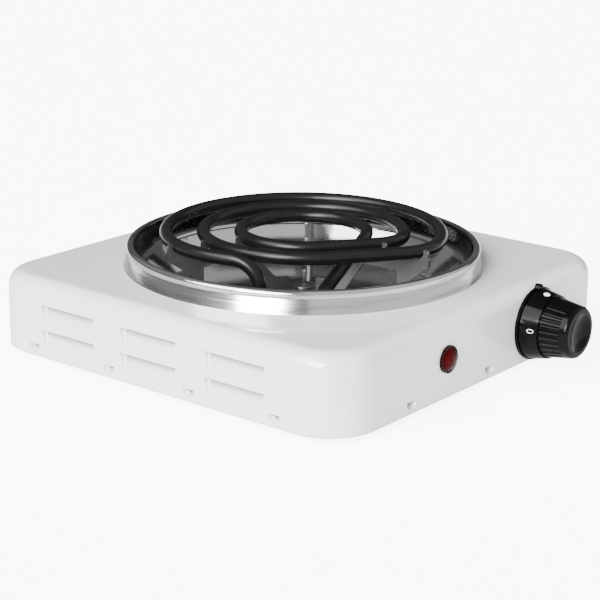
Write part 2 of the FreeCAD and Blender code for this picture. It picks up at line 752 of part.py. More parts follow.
def support_arm(path, clearance_tube, degrees):
    """One upright arm: a notched strip under the rings, a finger outside each, an outer leg and a tail."""
    strip_top = COIL_Z - TUBE_RADIUS + ARM_SEAT_DEPTH
    strip_bottom = strip_top - ARM_STRIP_HEIGHT
    radii = crossing_radii(path, degrees)
    reach = radii[-1] + ARM_OUTER_MARGIN
    tail_base = PAN_FLOOR + HUB_THICKNESS
    tail_top = tail_base + ARM_TAIL_HEIGHT
    outline = [
        (ARM_TAIL_START, tail_base),
        (ARM_TAIL_START, tail_top),
        (HUB_RADIUS, tail_top),
        (ARM_INNER_RADIUS, strip_bottom),
        (ARM_INNER_RADIUS, strip_top),
        (reach, strip_top),
        (reach, strip_top - ARM_STRIP_HEIGHT / 2),
        (ARM_LEG_OUTER, strip_bottom - ARM_STRIP_HEIGHT / 2),
        (ARM_LEG_OUTER, PAN_FLOOR),
        (ARM_LEG_INNER, PAN_FLOOR),
        (ARM_LEG_INNER, strip_bottom),
        (ARM_INNER_RADIUS + ARM_NECK_WIDTH, strip_bottom),
        (HUB_RADIUS + ARM_NECK_WIDTH, tail_base + 2 * ARM_THICKNESS),
        (HUB_RADIUS, tail_base + 2 * ARM_THICKNESS),
        (HUB_RADIUS, tail_base),
    ]
    thickness = Vector(0, ARM_THICKNESS, 0)
    points = [Vector(r, -ARM_THICKNESS / 2, z) for r, z in outline]
    pieces = [Part.Face(rounded_outline(points, ARM_CORNER)).extrude(thickness)]
    pieces += [arm_finger(radius, strip_top - ARM_SEAT_DEPTH).extrude(thickness) for radius in radii]
    arm = fused(pieces)
    arm.rotate(Vector(), Z_AXIS, degrees)
    notched = arm.cut(clearance_tube)
    return turned(max(notched.Solids, key=lambda solid: solid.Volume))


def support_hub():
    """The round plate on the pan's floor that the arms' tails stand on."""
    plate = cylinder(HUB_RADIUS, HUB_THICKNESS, Vector(0, 0, PAN_FLOOR))
    hole_start = Vector(0, 0, PAN_FLOOR - HUB_THICKNESS)
    return plate.cut(cylinder(HUB_SCREW_RADIUS + FIT_CLEARANCE, 3 * HUB_THICKNESS, hole_start))


def hub_screw():
    """A pan-head screw down through the hub and the pan."""
    seat = PAN_FLOOR + HUB_THICKNESS
    shank_end = PAN_FLOOR - SHEET - HUB_NUT_HEIGHT - SHEET
    shank = cylinder(HUB_SCREW_RADIUS, seat - shank_end, Vector(0, 0, shank_end))
    head = cylinder(HUB_SCREW_HEAD_RADIUS, HUB_SCREW_HEAD, Vector(0, 0, seat))
    head = head.makeFillet(HUB_SCREW_HEAD / 3, edges_at_height(head, seat + HUB_SCREW_HEAD))
    return shank.fuse(head)


def hub_nut():
    across_corners = HUB_NUT_FLATS / math.cos(math.pi / 6)
    top = PAN_FLOOR - SHEET
    corners = [polar(across_corners / 2, 60 * i, top - HUB_NUT_HEIGHT) for i in range(7)]
    nut = Part.Face(Part.makePolygon(corners)).extrude(Vector(0, 0, HUB_NUT_HEIGHT))
    return nut.cut(cylinder(HUB_SCREW_RADIUS, 2 * HUB_NUT_HEIGHT, Vector(0, 0, top - 1.5 * HUB_NUT_HEIGHT)))


def ceramic_bush(x):
    """A flanged bush that carries a coil leg through the pan's floor."""
    bottom = PAN_FLOOR - SHEET - BUSH_BELOW_PAN
    barrel = cylinder(BUSH_RADIUS, PAN_FLOOR - bottom, Vector(x, LEG_Y, bottom))
    flange = cylinder(BUSH_FLANGE_RADIUS, BUSH_FLANGE, Vector(x, LEG_Y, PAN_FLOOR))
    bore = cylinder(TUBE_RADIUS + FIT_CLEARANCE, 3 * PAN_DEPTH, Vector(x, LEG_Y, 0))
    return turned(barrel.fuse(flange).cut(bore))


def coil_pin(x):
    """The terminal pin that comes out of a coil leg."""
    top = PAN_FLOOR - SHEET - LEG_BELOW_PAN
    return turned(cylinder(PIN_RADIUS, PIN_LENGTH, Vector(x, LEG_Y, top - PIN_LENGTH)))


# Knob and thermostat


def about_knob(outline):
    """Revolve an outline of (radius, inward) points about the knob's axis."""
    points = [knob_point(inward, radius) for radius, inward in outline]
    points.append(points[0])
    return Part.Face(Part.makePolygon(points)).revolve(knob_point(0), INWARD, 360)


def control_knob():
    """The knob: a coned skirt, a ribbed grip with a smooth pointer side and a dished end, hollow behind."""
    back = -BEZEL_THICKNESS - KNOB_GAP
    end = back - KNOB_LENGTH
    shoulder = back - KNOB_SKIRT_LENGTH
    body = about_knob(
        [
            (0, back),
            (KNOB_SKIRT_RADIUS, back),
            (KNOB_SKIRT_TOP_RADIUS, shoulder),
            (KNOB_GRIP_RADIUS, shoulder),
            (KNOB_END_RADIUS, end),
            (0, end),
        ]
    )
    rim = [
        e
        for e in body.Edges
        if e.Curve.TypeId == "Part::GeomCircle" and abs(e.Vertexes[0].Y - (FRONT + end)) < TOLERANCE
    ]
    body = body.makeFillet(KNOB_EDGE, rim)
    dish_sphere = (KNOB_DISH_RADIUS**2 + KNOB_DISH_DEPTH**2) / (2 * KNOB_DISH_DEPTH)
    dish = Part.makeSphere(dish_sphere, knob_point(end - dish_sphere + KNOB_DISH_DEPTH))
    hollow = about_knob(
        [
            (SPINDLE_RADIUS + KNOB_WALL, back + KNOB_GAP),
            (KNOB_SKIRT_RADIUS - KNOB_WALL, back + KNOB_GAP),
            (KNOB_SKIRT_RADIUS - KNOB_WALL, back),
            (KNOB_SKIRT_TOP_RADIUS - KNOB_WALL, back - KNOB_HOLLOW),
            (SPINDLE_RADIUS + KNOB_WALL, back - KNOB_HOLLOW),
        ]
    )
    cuts = [dish, hollow, d_shaft(FIT_CLEARANCE / 3, back + KNOB_GAP, back - KNOB_SHAFT_DEPTH)]
    grip_length = KNOB_LENGTH - KNOB_SKIRT_LENGTH
    groove_tilt = math.degrees(math.atan2(KNOB_GRIP_RADIUS - KNOB_END_RADIUS, grip_length))
    groove_length = grip_length - 2 * KNOB_EDGE
    for i in range(int(360 / KNOB_GROOVE_STEP)):
        degrees = (i + 0.5) * KNOB_GROOVE_STEP
        from_pointer = min(abs(degrees - 90), abs(degrees - 270))
        if from_pointer < KNOB_SMOOTH_HALF_ANGLE:
            continue
        start = knob_point(shoulder, KNOB_GRIP_RADIUS + KNOB_GROOVE_RADIUS / 4)
        groove = cylinder(KNOB_GROOVE_RADIUS, groove_length, start, -INWARD)
        groove.rotate(start, Z_AXIS, -groove_tilt)
        groove.rotate(knob_point(0), INWARD, -degrees)
        cuts.append(groove)
    return body.cut(Part.makeCompound(cuts))


def d_shaft(growth, inner, outer):
    """A round shaft with one flat, between two distances from the front wall."""
    radius = SPINDLE_RADIUS + growth
    round_part = cylinder(radius, inner - outer, knob_point(outer), INWARD)
    flat = SPINDLE_RADIUS - SPINDLE_FLAT + growth
    corner = knob_point(outer - EDGE, -2 * radius, flat)
    return round_part.cut(Part.makeBox(4 * radius, inner - outer + 2 * EDGE, radius, corner))


def knob_bezel():
    """The thin fixed disc behind the knob, with the pointer nub on its top edge."""
    disc = cylinder(BEZEL_RADIUS, BEZEL_THICKNESS, knob_point(-BEZEL_THICKNESS), INWARD)
    nub_start = knob_point(-BEZEL_NUB_LENGTH, 0, BEZEL_RADIUS)
    nub = cylinder(BEZEL_NUB_RADIUS, BEZEL_NUB_LENGTH, nub_start, INWARD)
    nub = nub.makeFillet(BEZEL_NUB_RADIUS / 2, [e for e in nub.Edges if e.Vertexes[0].Y < FRONT - EDGE][:1])
    swept_start = knob_point(-BEZEL_NUB_LENGTH - BEZEL_THICKNESS)
    swept = cylinder(KNOB_SKIRT_RADIUS + 2 * EDGE, BEZEL_NUB_LENGTH, swept_start, INWARD)
    middle_start = knob_point(-2 * BEZEL_THICKNESS)
    holes = [cylinder(BUSHING_RADIUS + FIT_CLEARANCE, 3 * BEZEL_THICKNESS, middle_start, INWARD)]
    for x in (-THERMOSTAT_SCREW_OFFSET, THERMOSTAT_SCREW_OFFSET):
        start = knob_point(-2 * BEZEL_THICKNESS, x)
        holes.append(cylinder(THERMOSTAT_SCREW_RADIUS + FIT_CLEARANCE, 3 * BEZEL_THICKNESS, start, INWARD))
    return disc.fuse(nub.cut(swept)).cut(Part.makeCompound(holes)).removeSplitter()


def thermostat_bracket():
    """The plate behind the front wall, with the spindle's bushing standing through the wall."""
    back = SHEET + BRACKET_THICKNESS
    plate = Part.makeBox(
        BRACKET_WIDTH,
        BRACKET_THICKNESS,
        BRACKET_BELOW + BRACKET_ABOVE,
        knob_point(SHEET, -BRACKET_WIDTH / 2, -BRACKET_BELOW),
    )
    upright = [e for e in plate.Edges if abs(e.Vertexes[0].Y - e.Vertexes[1].Y) > EDGE]
    plate = plate.makeFillet(2.5 * BRACKET_THICKNESS, upright)
    bushing_start = knob_point(-BEZEL_THICKNESS)
    bushing = cylinder(BUSHING_RADIUS, BUSHING_LENGTH + BEZEL_THICKNESS, bushing_start, INWARD)
    bore_length = 2 * BEZEL_THICKNESS + 2 * BUSHING_LENGTH
    bore_start = knob_point(-2 * BEZEL_THICKNESS)
    holes = [cylinder(SPINDLE_RADIUS + SPINDLE_CLEARANCE, bore_length, bore_start, INWARD)]
    for offset in (-THERMOSTAT_SCREW_OFFSET, THERMOSTAT_SCREW_OFFSET):
        holes.append(cylinder(THERMOSTAT_SCREW_RADIUS, 3 * back, knob_point(-back, offset), INWARD))
    return plate.fuse(bushing).cut(Part.makeCompound(holes)).removeSplitter()


def thermostat_screws():
    """Two screws through the bezel and the wall into the bracket, hidden under the knob's skirt."""
    screws = []
    for x in (-THERMOSTAT_SCREW_OFFSET, THERMOSTAT_SCREW_OFFSET):
        seat = -BEZEL_THICKNESS
        length = BEZEL_THICKNESS + SHEET + BRACKET_THICKNESS + SHEET
        shank = cylinder(THERMOSTAT_SCREW_RADIUS, length, knob_point(seat, x), INWARD)
        head = cylinder(
            THERMOSTAT_SCREW_HEAD_RADIUS,
            THERMOSTAT_SCREW_HEAD,
            knob_point(seat - THERMOSTAT_SCREW_HEAD, x),
            INWARD,
        )
        screws.append(shank.fuse(head))
    return Part.makeCompound(screws)


def thermostat_spindle():
    """The turning shaft: a flat for the knob in front and the cam's seat behind."""
    front = -BEZEL_THICKNESS - KNOB_GAP - KNOB_SHAFT_DEPTH + EDGE
    flat_end = -BEZEL_THICKNESS - EDGE
    plain = cylinder(SPINDLE_RADIUS, SPINDLE_TAIL - flat_end, knob_point(flat_end), INWARD)
    return d_shaft(0, flat_end, front).fuse(plain).removeSplitter()


def spindle_circlip():
    start = BUSHING_LENGTH + EDGE
    ring = cylinder(CIRCLIP_RADIUS, CIRCLIP_THICKNESS, knob_point(start), INWARD)
    hole_start = knob_point(start - CIRCLIP_THICKNESS)
    return ring.cut(cylinder(SPINDLE_RADIUS, 3 * CIRCLIP_THICKNESS, hole_start, INWARD))


def control_cam():
    """A snail cam on the spindle, lowest on the contact arm's side and rising over the knob's travel."""

    def cam_point(turn):
        angle = math.radians(180 + turn)
        radius = CAM_BASE_RADIUS + CAM_RISE * turn / CAM_TRAVEL
        return knob_point(CAM_START, radius * math.cos(angle), radius * math.sin(angle))

    spiral = Part.BSplineCurve()
    steps = int(CAM_TRAVEL / CAM_POINT_STEP) + 2
    spiral.interpolate([cam_point(CAM_POINT_STEP * i) for i in range(-1, steps)])
    first, last = spiral.value(spiral.FirstParameter), spiral.value(spiral.LastParameter)
    face = Part.Face(Part.Wire([spiral.toShape(), line(last, first)]))
    cam = face.extrude(INWARD * CAM_THICKNESS)
    hole_start = knob_point(CAM_START - CAM_THICKNESS)
    return cam.cut(cylinder(SPINDLE_RADIUS, 3 * CAM_THICKNESS, hole_start, INWARD))


def thermostat_base():
    """The ceramic block on the bracket, with two ears for the contact arm's pin."""
    back = SHEET + BRACKET_THICKNESS
    block = Part.makeBox(
        BASE_BLOCK_RIGHT - BASE_BLOCK_LEFT,
        BASE_BLOCK_DEPTH,
        BASE_BLOCK_TOP - BASE_BLOCK_BOTTOM,
        knob_point(back, BASE_BLOCK_LEFT, BASE_BLOCK_BOTTOM),
    )
    pieces = [block]
    for start in ear_starts():
        width = 2 * ARM_KNUCKLE_RADIUS
        foot = Part.makeBox(
            width,
            EAR_WIDTH,
            BASE_BLOCK_BOTTOM - ARM_PIVOT_Z,
            knob_point(start, ARM_PIVOT_X - width / 2, ARM_PIVOT_Z),
        )
        crown = cylinder(width / 2, EAR_WIDTH, knob_point(start, ARM_PIVOT_X, ARM_PIVOT_Z), INWARD)
        pieces += [foot, crown]
    pin_start = knob_point(back, ARM_PIVOT_X, ARM_PIVOT_Z)
    pin = cylinder(ARM_PIVOT_PIN_RADIUS, BASE_BLOCK_DEPTH, pin_start, INWARD)
    return fused(pieces).cut(pin)


def ear_starts():
    """Where the two ears start, either side of the cam's thickness."""
    front = CAM_START - EAR_WIDTH - EDGE
    rear = CAM_START + CAM_THICKNESS + EDGE
    return front, rear


def arm_pivot_pin():
    front, rear = ear_starts()
    length = rear + EAR_WIDTH - front
    return cylinder(ARM_PIVOT_PIN_RADIUS, length, knob_point(front, ARM_PIVOT_X, ARM_PIVOT_Z), INWARD)


def contact_arm():
    """The spring arm that the cam pushes: a knuckle on the pin, a blade, a pad and a contact rivet."""
    blade_height = ARM_PIVOT_Z - CONTACT_ARM_END
    pivot = knob_point(CAM_START, ARM_PIVOT_X, ARM_PIVOT_Z)
    knuckle = cylinder(ARM_KNUCKLE_RADIUS, CAM_THICKNESS, pivot, INWARD)
    blade = Part.makeBox(
        CONTACT_ARM_THICKNESS,
        CAM_THICKNESS,
        blade_height,
        knob_point(CAM_START, ARM_PIVOT_X - CONTACT_ARM_THICKNESS / 2, CONTACT_ARM_END),
    )
    pad_tip = -CAM_BASE_RADIUS - CAM_GAP
    pad_centre = pad_tip - CONTACT_PAD_RADIUS
    pad = cylinder(CONTACT_PAD_RADIUS, CAM_THICKNESS, knob_point(CAM_START, pad_centre), INWARD)
    stem = Part.makeBox(
        pad_centre - ARM_PIVOT_X,
        CAM_THICKNESS,
        2 * CONTACT_PAD_RADIUS,
        knob_point(CAM_START, ARM_PIVOT_X, -CONTACT_PAD_RADIUS),
    )
    rivet = cylinder(
        CONTACT_RIVET_RADIUS,
        CONTACT_ARM_THICKNESS,
        knob_point(
            CAM_START + CAM_THICKNESS / 2,
            ARM_PIVOT_X - CONTACT_ARM_THICKNESS / 2,
            CONTACT_ARM_END + CONTACT_RIVET_RADIUS,
        ),
        Vector(-1, 0, 0),
    )
    hole = cylinder(
        ARM_PIVOT_PIN_RADIUS + SPINDLE_CLEARANCE,
        3 * CAM_THICKNESS,
        knob_point(CAM_START - CAM_THICKNESS, ARM_PIVOT_X, ARM_PIVOT_Z),
        INWARD,
    )
    return fused([knuckle, blade, pad, stem, rivet]).cut(hole)


def fixed_contact():
    """The fixed contact blade that hangs from the ceramic block beside the arm."""
    blade = Part.makeBox(
        CONTACT_ARM_THICKNESS,
        CAM_THICKNESS,
        BASE_BLOCK_BOTTOM - CONTACT_ARM_END,
        knob_point(CAM_START, FIXED_CONTACT_X - CONTACT_ARM_THICKNESS, CONTACT_ARM_END),
    )
    rivet = cylinder(
        CONTACT_RIVET_RADIUS,
        CONTACT_ARM_THICKNESS / 2,
        knob_point(CAM_START + CAM_THICKNESS / 2, FIXED_CONTACT_X, CONTACT_ARM_END + CONTACT_RIVET_RADIUS),
        Vector(1, 0, 0),
    )
    return blade.fuse(rivet).removeSplitter()


def thermostat_tab_places():
    """Offsets from the knob's axis of the two push-on tabs behind the ceramic block."""
    middle = (BASE_BLOCK_LEFT + BASE_BLOCK_RIGHT) / 2
    return [middle - TAB_WIDTH, middle + TAB_WIDTH]


def thermostat_tabs():
    start = SHEET + BRACKET_THICKNESS + BASE_BLOCK_DEPTH
    height = (BASE_BLOCK_TOP + BASE_BLOCK_BOTTOM) / 2 - TAB_THICKNESS / 2
    tabs = [
        Part.makeBox(TAB_WIDTH, TAB_LENGTH, TAB_THICKNESS, knob_point(start, x - TAB_WIDTH / 2, height))
        for x in thermostat_tab_places()
    ]
    return Part.makeCompound(tabs)


# Indicator lamp


def lamp_lens():
    """The red lens: a flange and dome outside the wall and a hollow barrel through it."""
    flange = cylinder(LAMP_FLANGE_RADIUS, LAMP_FLANGE, lamp_point(-LAMP_FLANGE), INWARD)
    dome_radius = LAMP_FLANGE_RADIUS - LAMP_WALL
    sphere_radius = (dome_radius**2 + LAMP_DOME**2) / (2 * LAMP_DOME)
    centre = lamp_point(-LAMP_FLANGE + sphere_radius - LAMP_DOME)
    cap = Part.makeSphere(sphere_radius, centre).common(
        cylinder(dome_radius, 2 * LAMP_DOME, lamp_point(-LAMP_FLANGE - 2 * LAMP_DOME), INWARD)
    )
    barrel = cylinder(LAMP_BARREL_RADIUS, LAMP_BARREL_LENGTH, lamp_point(0), INWARD)
    hollow_length = LAMP_BARREL_LENGTH + LAMP_FLANGE
    hollow = cylinder(LAMP_BARREL_RADIUS - LAMP_WALL, hollow_length, lamp_point(-LAMP_FLANGE), INWARD)
    return fused([flange, cap, barrel]).cut(hollow)


def lamp_clip():
    """The push-on ring that holds the lens against the front wall."""
    ring = cylinder(LAMP_CLIP_RADIUS, LAMP_CLIP_THICKNESS, lamp_point(SHEET), INWARD)
    return ring.cut(cylinder(LAMP_BARREL_RADIUS, 3 * LAMP_CLIP_THICKNESS, lamp_point(0), INWARD))


def lamp_holder():
    """The plug in the back of the barrel that carries the neon and its two tabs."""
    plug_start = lamp_point(LAMP_BARREL_LENGTH * 2 / 3)
    plug = cylinder(LAMP_BARREL_RADIUS - LAMP_WALL, LAMP_BARREL_LENGTH / 3, plug_start, INWARD)
    head = cylinder(LAMP_BARREL_RADIUS, LAMP_WALL * 2, lamp_point(LAMP_BARREL_LENGTH), INWARD)
    tabs = [
        Part.makeBox(
            TAB_THICKNESS,
            LAMP_BODY_LENGTH / 2,
            TAB_WIDTH / 2,
            lamp_point(LAMP_BARREL_LENGTH + LAMP_WALL * 2, x - TAB_THICKNESS / 2, -TAB_WIDTH / 4),
        )
        for x in (-LAMP_TAB_OFFSET, LAMP_TAB_OFFSET)
    ]
    return fused([plug, head, *tabs])


def neon_bulb():
    """The small neon capsule inside the lens."""
    end = LAMP_BARREL_LENGTH * 2 / 3
    start = NEON_RADIUS / 2
    glass = cylinder(NEON_RADIUS, end - start - NEON_RADIUS, lamp_point(start + NEON_RADIUS), INWARD)
    return glass.fuse(Part.makeSphere(NEON_RADIUS, lamp_point(start + NEON_RADIUS))).removeSplitter()


def cord_grommet():
    """The cord's grommet: a neck in the rear wall's notch between two flanges, with the cord's bore."""
    outer = cylinder(GROMMET_FLANGE_RADIUS, GROMMET_FLANGE, grommet_point(-GROMMET_FLANGE), -INWARD)
    neck = cylinder(GROMMET_NECK_RADIUS, SHEET, grommet_point(0), -INWARD)
    inner = cylinder(GROMMET_FLANGE_RADIUS, GROMMET_FLANGE, grommet_point(SHEET), -INWARD)
    outside_edges = [e for e in outer.Edges if e.Vertexes[0].Y > REAR + EDGE]
    outer = outer.makeFillet(GROMMET_FLANGE / 3, outside_edges[:1])
    bore = cylinder(GROMMET_BORE_RADIUS, 6 * GROMMET_FLANGE, grommet_point(-3 * GROMMET_FLANGE), -INWARD)
    return fused([outer, neck, inner]).cut(bore)


# Leads


def lead(points):
    """An insulated lead along straight runs with rounded corners."""
    edges = []
    start = points[0]
    for before, corner, after in zip(points, points[1:], points[2:]):
        bend_start, bend_end, bend = rounded_corner(before, corner, after, LEAD_BEND)
        edges += [line(start, bend_start), bend]
        start = bend_end
    edges.append(line(start, points[-1]))
    return tube_along(Part.Wire(edges), LEAD_RADIUS)


def leads():
    """The five leads inside, by the points of their runs."""
    tab_y = FRONT + SHEET + BRACKET_THICKNESS + BASE_BLOCK_DEPTH + TAB_LENGTH / 2
    tab_z = BODY_BOTTOM + KNOB_Z + (BASE_BLOCK_TOP + BASE_BLOCK_BOTTOM - TAB_THICKNESS) / 2
    coil_tab, line_tab = (Vector(KNOB_X + x, tab_y, tab_z) for x in thermostat_tab_places())
    yaw = FreeCAD.Rotation(Z_AXIS, COIL_YAW)
    pin_top = PAN_FLOOR - SHEET - LEG_BELOW_PAN
    low, high = pin_top - PIN_LENGTH + 2 * LEAD_RADIUS, pin_top - 2 * LEAD_RADIUS
    outer_pin, inner_pin = (yaw.multVec(Vector(x, LEG_Y, 0)) for x in (OUTER_LEG_X, INNER_LEG_X))
    entry = grommet_point(4 * GROMMET_FLANGE)
    beside = Vector(2 * LEAD_RADIUS, 0, 0)
    lamp_y = FRONT + LAMP_BARREL_LENGTH + LAMP_WALL * 2 + LAMP_BODY_LENGTH / 2
    lamp_z = BODY_BOTTOM + LAMP_Z
    run = 2.5 * LEAD_BEND
    drop = Vector(0, 0, low - tab_z)
    touch = PIN_RADIUS

    def at_pin(pin, x, y, z):
        return Vector(pin.x + x, pin.y + y, z)

    return {
        "line_lead": [
            entry + beside,
            entry + beside - INWARD * run,
            line_tab + drop,
            line_tab,
        ],
        "coil_lead": [
            at_pin(inner_pin, touch, 0, low),
            at_pin(inner_pin, run, 0, low),
            coil_tab + drop,
            coil_tab,
        ],
        "neutral_lead": [
            entry - beside,
            entry - beside - INWARD * run,
            at_pin(outer_pin, run, 0, low),
            at_pin(outer_pin, touch, 0, low),
        ],
        "lamp_coil_lead": [
            Vector(LAMP_X + LAMP_TAB_OFFSET, lamp_y, lamp_z),
            Vector(LAMP_X + LAMP_TAB_OFFSET, lamp_y + run, lamp_z),
            at_pin(inner_pin, 0, -run, high),
            at_pin(inner_pin, 0, -touch, high),
        ],
        "lamp_neutral_lead": [
            Vector(LAMP_X - LAMP_TAB_OFFSET, lamp_y, lamp_z),
            Vector(LAMP_X - LAMP_TAB_OFFSET, lamp_y + run, lamp_z),
            at_pin(outer_pin, 0, -run, high),
            at_pin(outer_pin, 0, -touch, high),
        ],
    }


def main():
    os.makedirs("parts", exist_ok=True)
    path = coil_path()
    gap = least_gap(path, 8 * TUBE_RADIUS)
    print("coil: length", round(path.Length), "mm, least gap", round(gap, 2), "mm")
    clearance_tube = tube_along(path, TUBE_RADIUS + FIT_CLEARANCE)
    pieces = {
        "body_shell": body_shell(),
        "base_tray": base_tray(),
        "trim_ring": trim_ring(),
        "drip_pan": drip_pan(),
        "heating_coil": turned(tube_along(path, TUBE_RADIUS)),
        "support_hub": support_hub(),
        "hub_screw": hub_screw(),
        "hub_nut": hub_nut(),
        "outer_leg_bush": ceramic_bush(OUTER_LEG_X),
        "inner_leg_bush": ceramic_bush(INNER_LEG_X),
        "outer_leg_pin": coil_pin(OUTER_LEG_X),
        "inner_leg_pin": coil_pin(INNER_LEG_X),
        "control_knob": control_knob(),
        "knob_bezel": knob_bezel(),
        "thermostat_bracket": thermostat_bracket(),
        "thermostat_screws": thermostat_screws(),
        "thermostat_spindle": thermostat_spindle(),
        "spindle_circlip": spindle_circlip(),
        "control_cam": control_cam(),
        "thermostat_base": thermostat_base(),
        "arm_pivot_pin": arm_pivot_pin(),
        "contact_arm": contact_arm(),
        "fixed_contact": fixed_contact(),
        "thermostat_tabs": thermostat_tabs(),
        "lamp_lens": lamp_lens(),
        "lamp_clip": lamp_clip(),
        "lamp_holder": lamp_holder(),
        "neon_bulb": neon_bulb(),
        "cord_grommet": cord_grommet(),
    }
    for place, (x, y) in foot_places().items():
        pieces[f"foot_{place}"] = rubber_foot(x, y)
    for place, degrees in ARM_ANGLES.items():
        pieces[f"support_arm_{place}"] = support_arm(path, clearance_tube, degrees)
    for name, points in leads().items():
        pieces[name] = lead(points)
    for name, shape in pieces.items():
        print(name, len(shape.Solids), round(shape.Volume, 1), shape.isValid())
        save(name, shape)


main()
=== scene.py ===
"""Looks, stage and camera of a single-coil electric hot plate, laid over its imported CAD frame.

Metres, +Z up, the knob faces -Y. Every CAD node keeps its shape and place and gets a procedural material;
the only added shapes are the printed marks on the knob's skirt.
"""

import math

import bpy
from mathutils import Matrix, Vector


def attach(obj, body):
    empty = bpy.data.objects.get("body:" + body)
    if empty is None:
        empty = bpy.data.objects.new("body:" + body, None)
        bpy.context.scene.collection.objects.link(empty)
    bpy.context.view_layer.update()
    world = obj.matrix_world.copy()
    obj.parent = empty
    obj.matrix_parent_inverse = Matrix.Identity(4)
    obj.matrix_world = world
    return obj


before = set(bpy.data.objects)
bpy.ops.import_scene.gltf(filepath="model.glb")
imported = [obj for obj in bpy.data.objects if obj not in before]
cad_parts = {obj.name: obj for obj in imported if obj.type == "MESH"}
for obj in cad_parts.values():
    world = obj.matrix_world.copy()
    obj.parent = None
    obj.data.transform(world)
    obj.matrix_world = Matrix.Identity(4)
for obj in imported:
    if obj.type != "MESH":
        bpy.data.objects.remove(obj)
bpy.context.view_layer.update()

bl_info = {
    "name": "Electric hot plate",
    "version": (1, 0, 0),
    "blender": (4, 5, 0),
    "location": "3D View > Sidebar > Hot plate",
    "description": "Materials, printed marks, studio and camera of a single-coil hot plate",
    "category": "Object",
}

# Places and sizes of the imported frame, in metres

BODY_CENTRE = (0.0, 0.0116, 0.0)
BODY_HALF = (0.1125, 0.1105)
BODY_CORNER = 0.0254
BODY_BOTTOM = 0.003
KNOB_AXIS = Vector((0.0433, -0.0989, 0.0214))
LAMP_AXIS = Vector((-0.0315, -0.0989, 0.0221))
RING_WALL_RADIUS = 0.0848
LENS_RIM_RADIUS = 0.0042

# Fixed colours

CERAMIC = (0.8, 0.78, 0.72)
INK = (0.8, 0.8, 0.8)
NEON_GLASS = (0.8, 0.7, 0.66)
INNER_PLASTIC = (0.7, 0.69, 0.65)
TRAY_STEEL = (0.55, 0.56, 0.57)
TRAY_PATCHES = (0.46, 0.47, 0.48)
RUBBER = (0.02, 0.02, 0.02)
BRIGHT_STEEL = (0.62, 0.62, 0.63)
BRASS = (0.7, 0.52, 0.24)
LEAD_SLEEVE = (0.75, 0.73, 0.66)
WHITE = (1.0, 1.0, 1.0)

# Waves per metre along each axis

RING_STREAKS = (16, 16, 300)
PAN_WAVES = (45, 45, 45)

# Depth of each kind of bump, in metres

GRAIN_DEPTH = 0.0002
TURNED_DEPTH = 0.0001
WAVE_DEPTH = 0.002
FACET_DEPTH = 0.0006

# Marks on the knob: turns in degrees, shares of a length, and counts

DOT_TURN = 8
DIGIT_TURNS = {"0": 86, "1": 180, "2": 210, "3": 240, "4": 270}
MARK_ALONG_SKIRT = 0.62
DOT_STEPS = 32
DOT_RINGS = 5
DIGIT_HEIGHT_OF_FONT = 0.7
DIGIT_THINNING = 0.025

# Where each light comes from

LEFT_LIGHT_FROM = (-1.0, -0.2, 0.5)
FRONT_LIGHT_FROM = (0.3, -1.0, 0.45)
TOP_LIGHT_FROM = (-0.75, 0.25, 0.7)
REAR_LIGHT_FROM = (-0.56, 0.56, 0.61)

# Camera, in millimetres

SENSOR_WIDTH = 36.0


# Settings


class HotPlateLooks(bpy.types.PropertyGroup):
    """Colours and finishes of the pieces."""

    enamel: bpy.props.FloatVectorProperty(
        name="Enamel",
        description="Colour of the body's enamel",
        subtype="COLOR",
        default=(0.7, 0.7, 0.692),
    )
    enamel_second: bpy.props.FloatVectorProperty(
        name="Enamel patches",
        description="Colour of the enamel's faint patches",
        subtype="COLOR",
        default=(0.64, 0.64, 0.63),
    )
    # Painted shade: the colour that darkens the pressings deep in and the walls' lower edge.
    enamel_painted_shade: bpy.props.FloatVectorProperty(
        name="Enamel shade",
        description="Colour deep in the pressings",
        subtype="COLOR",
        default=(0.12, 0.12, 0.118),
    )
    enamel_roughness: bpy.props.FloatProperty(
        name="Enamel roughness", description="Gloss of the body's enamel", default=0.2, min=0, max=1
    )
    ring: bpy.props.FloatVectorProperty(
        name="Ring",
        description="Tint of the trim ring's metal",
        subtype="COLOR",
        default=(0.6, 0.595, 0.58),
    )
    # Painted reflection: the dark colour of the coil reflected in the ring's inner wall.
    ring_inside_painted_reflection: bpy.props.FloatVectorProperty(
        name="Ring inside",
        description="Tint of the trim ring's darkened inner wall",
        subtype="COLOR",
        default=(0.015, 0.015, 0.015),
    )
    ring_roughness: bpy.props.FloatProperty(
        name="Ring roughness", description="Polish of the trim ring", default=0.15, min=0, max=1
    )
    pan: bpy.props.FloatVectorProperty(
        name="Pan",
        description="Tint of the reflector pan's metal",
        subtype="COLOR",
        default=(0.44, 0.44, 0.445),
    )
    pan_roughness: bpy.props.FloatProperty(
        name="Pan roughness", description="Polish of the reflector pan", default=0.12, min=0, max=1
    )
    coil: bpy.props.FloatVectorProperty(
        name="Coil",
        description="Colour of the coil's sheath",
        subtype="COLOR",
        default=(0.0032, 0.0032, 0.0031),
    )
    coil_roughness: bpy.props.FloatProperty(
        name="Coil roughness", description="Sheen of the coil's sheath", default=0.3, min=0, max=1
    )
    steel: bpy.props.FloatVectorProperty(
        name="Steel",
        description="Tint of the supports and screws",
        subtype="COLOR",
        default=(0.2, 0.2, 0.2),
    )
    knob: bpy.props.FloatVectorProperty(
        name="Knob",
        description="Colour of the knob and its bezel",
        subtype="COLOR",
        default=(0.0015, 0.0015, 0.0018),
    )
    lens: bpy.props.FloatVectorProperty(
        name="Lens",
        description="Colour of the lamp's lens",
        subtype="COLOR",
        default=(0.034, 0.0004, 0.0007),
    )


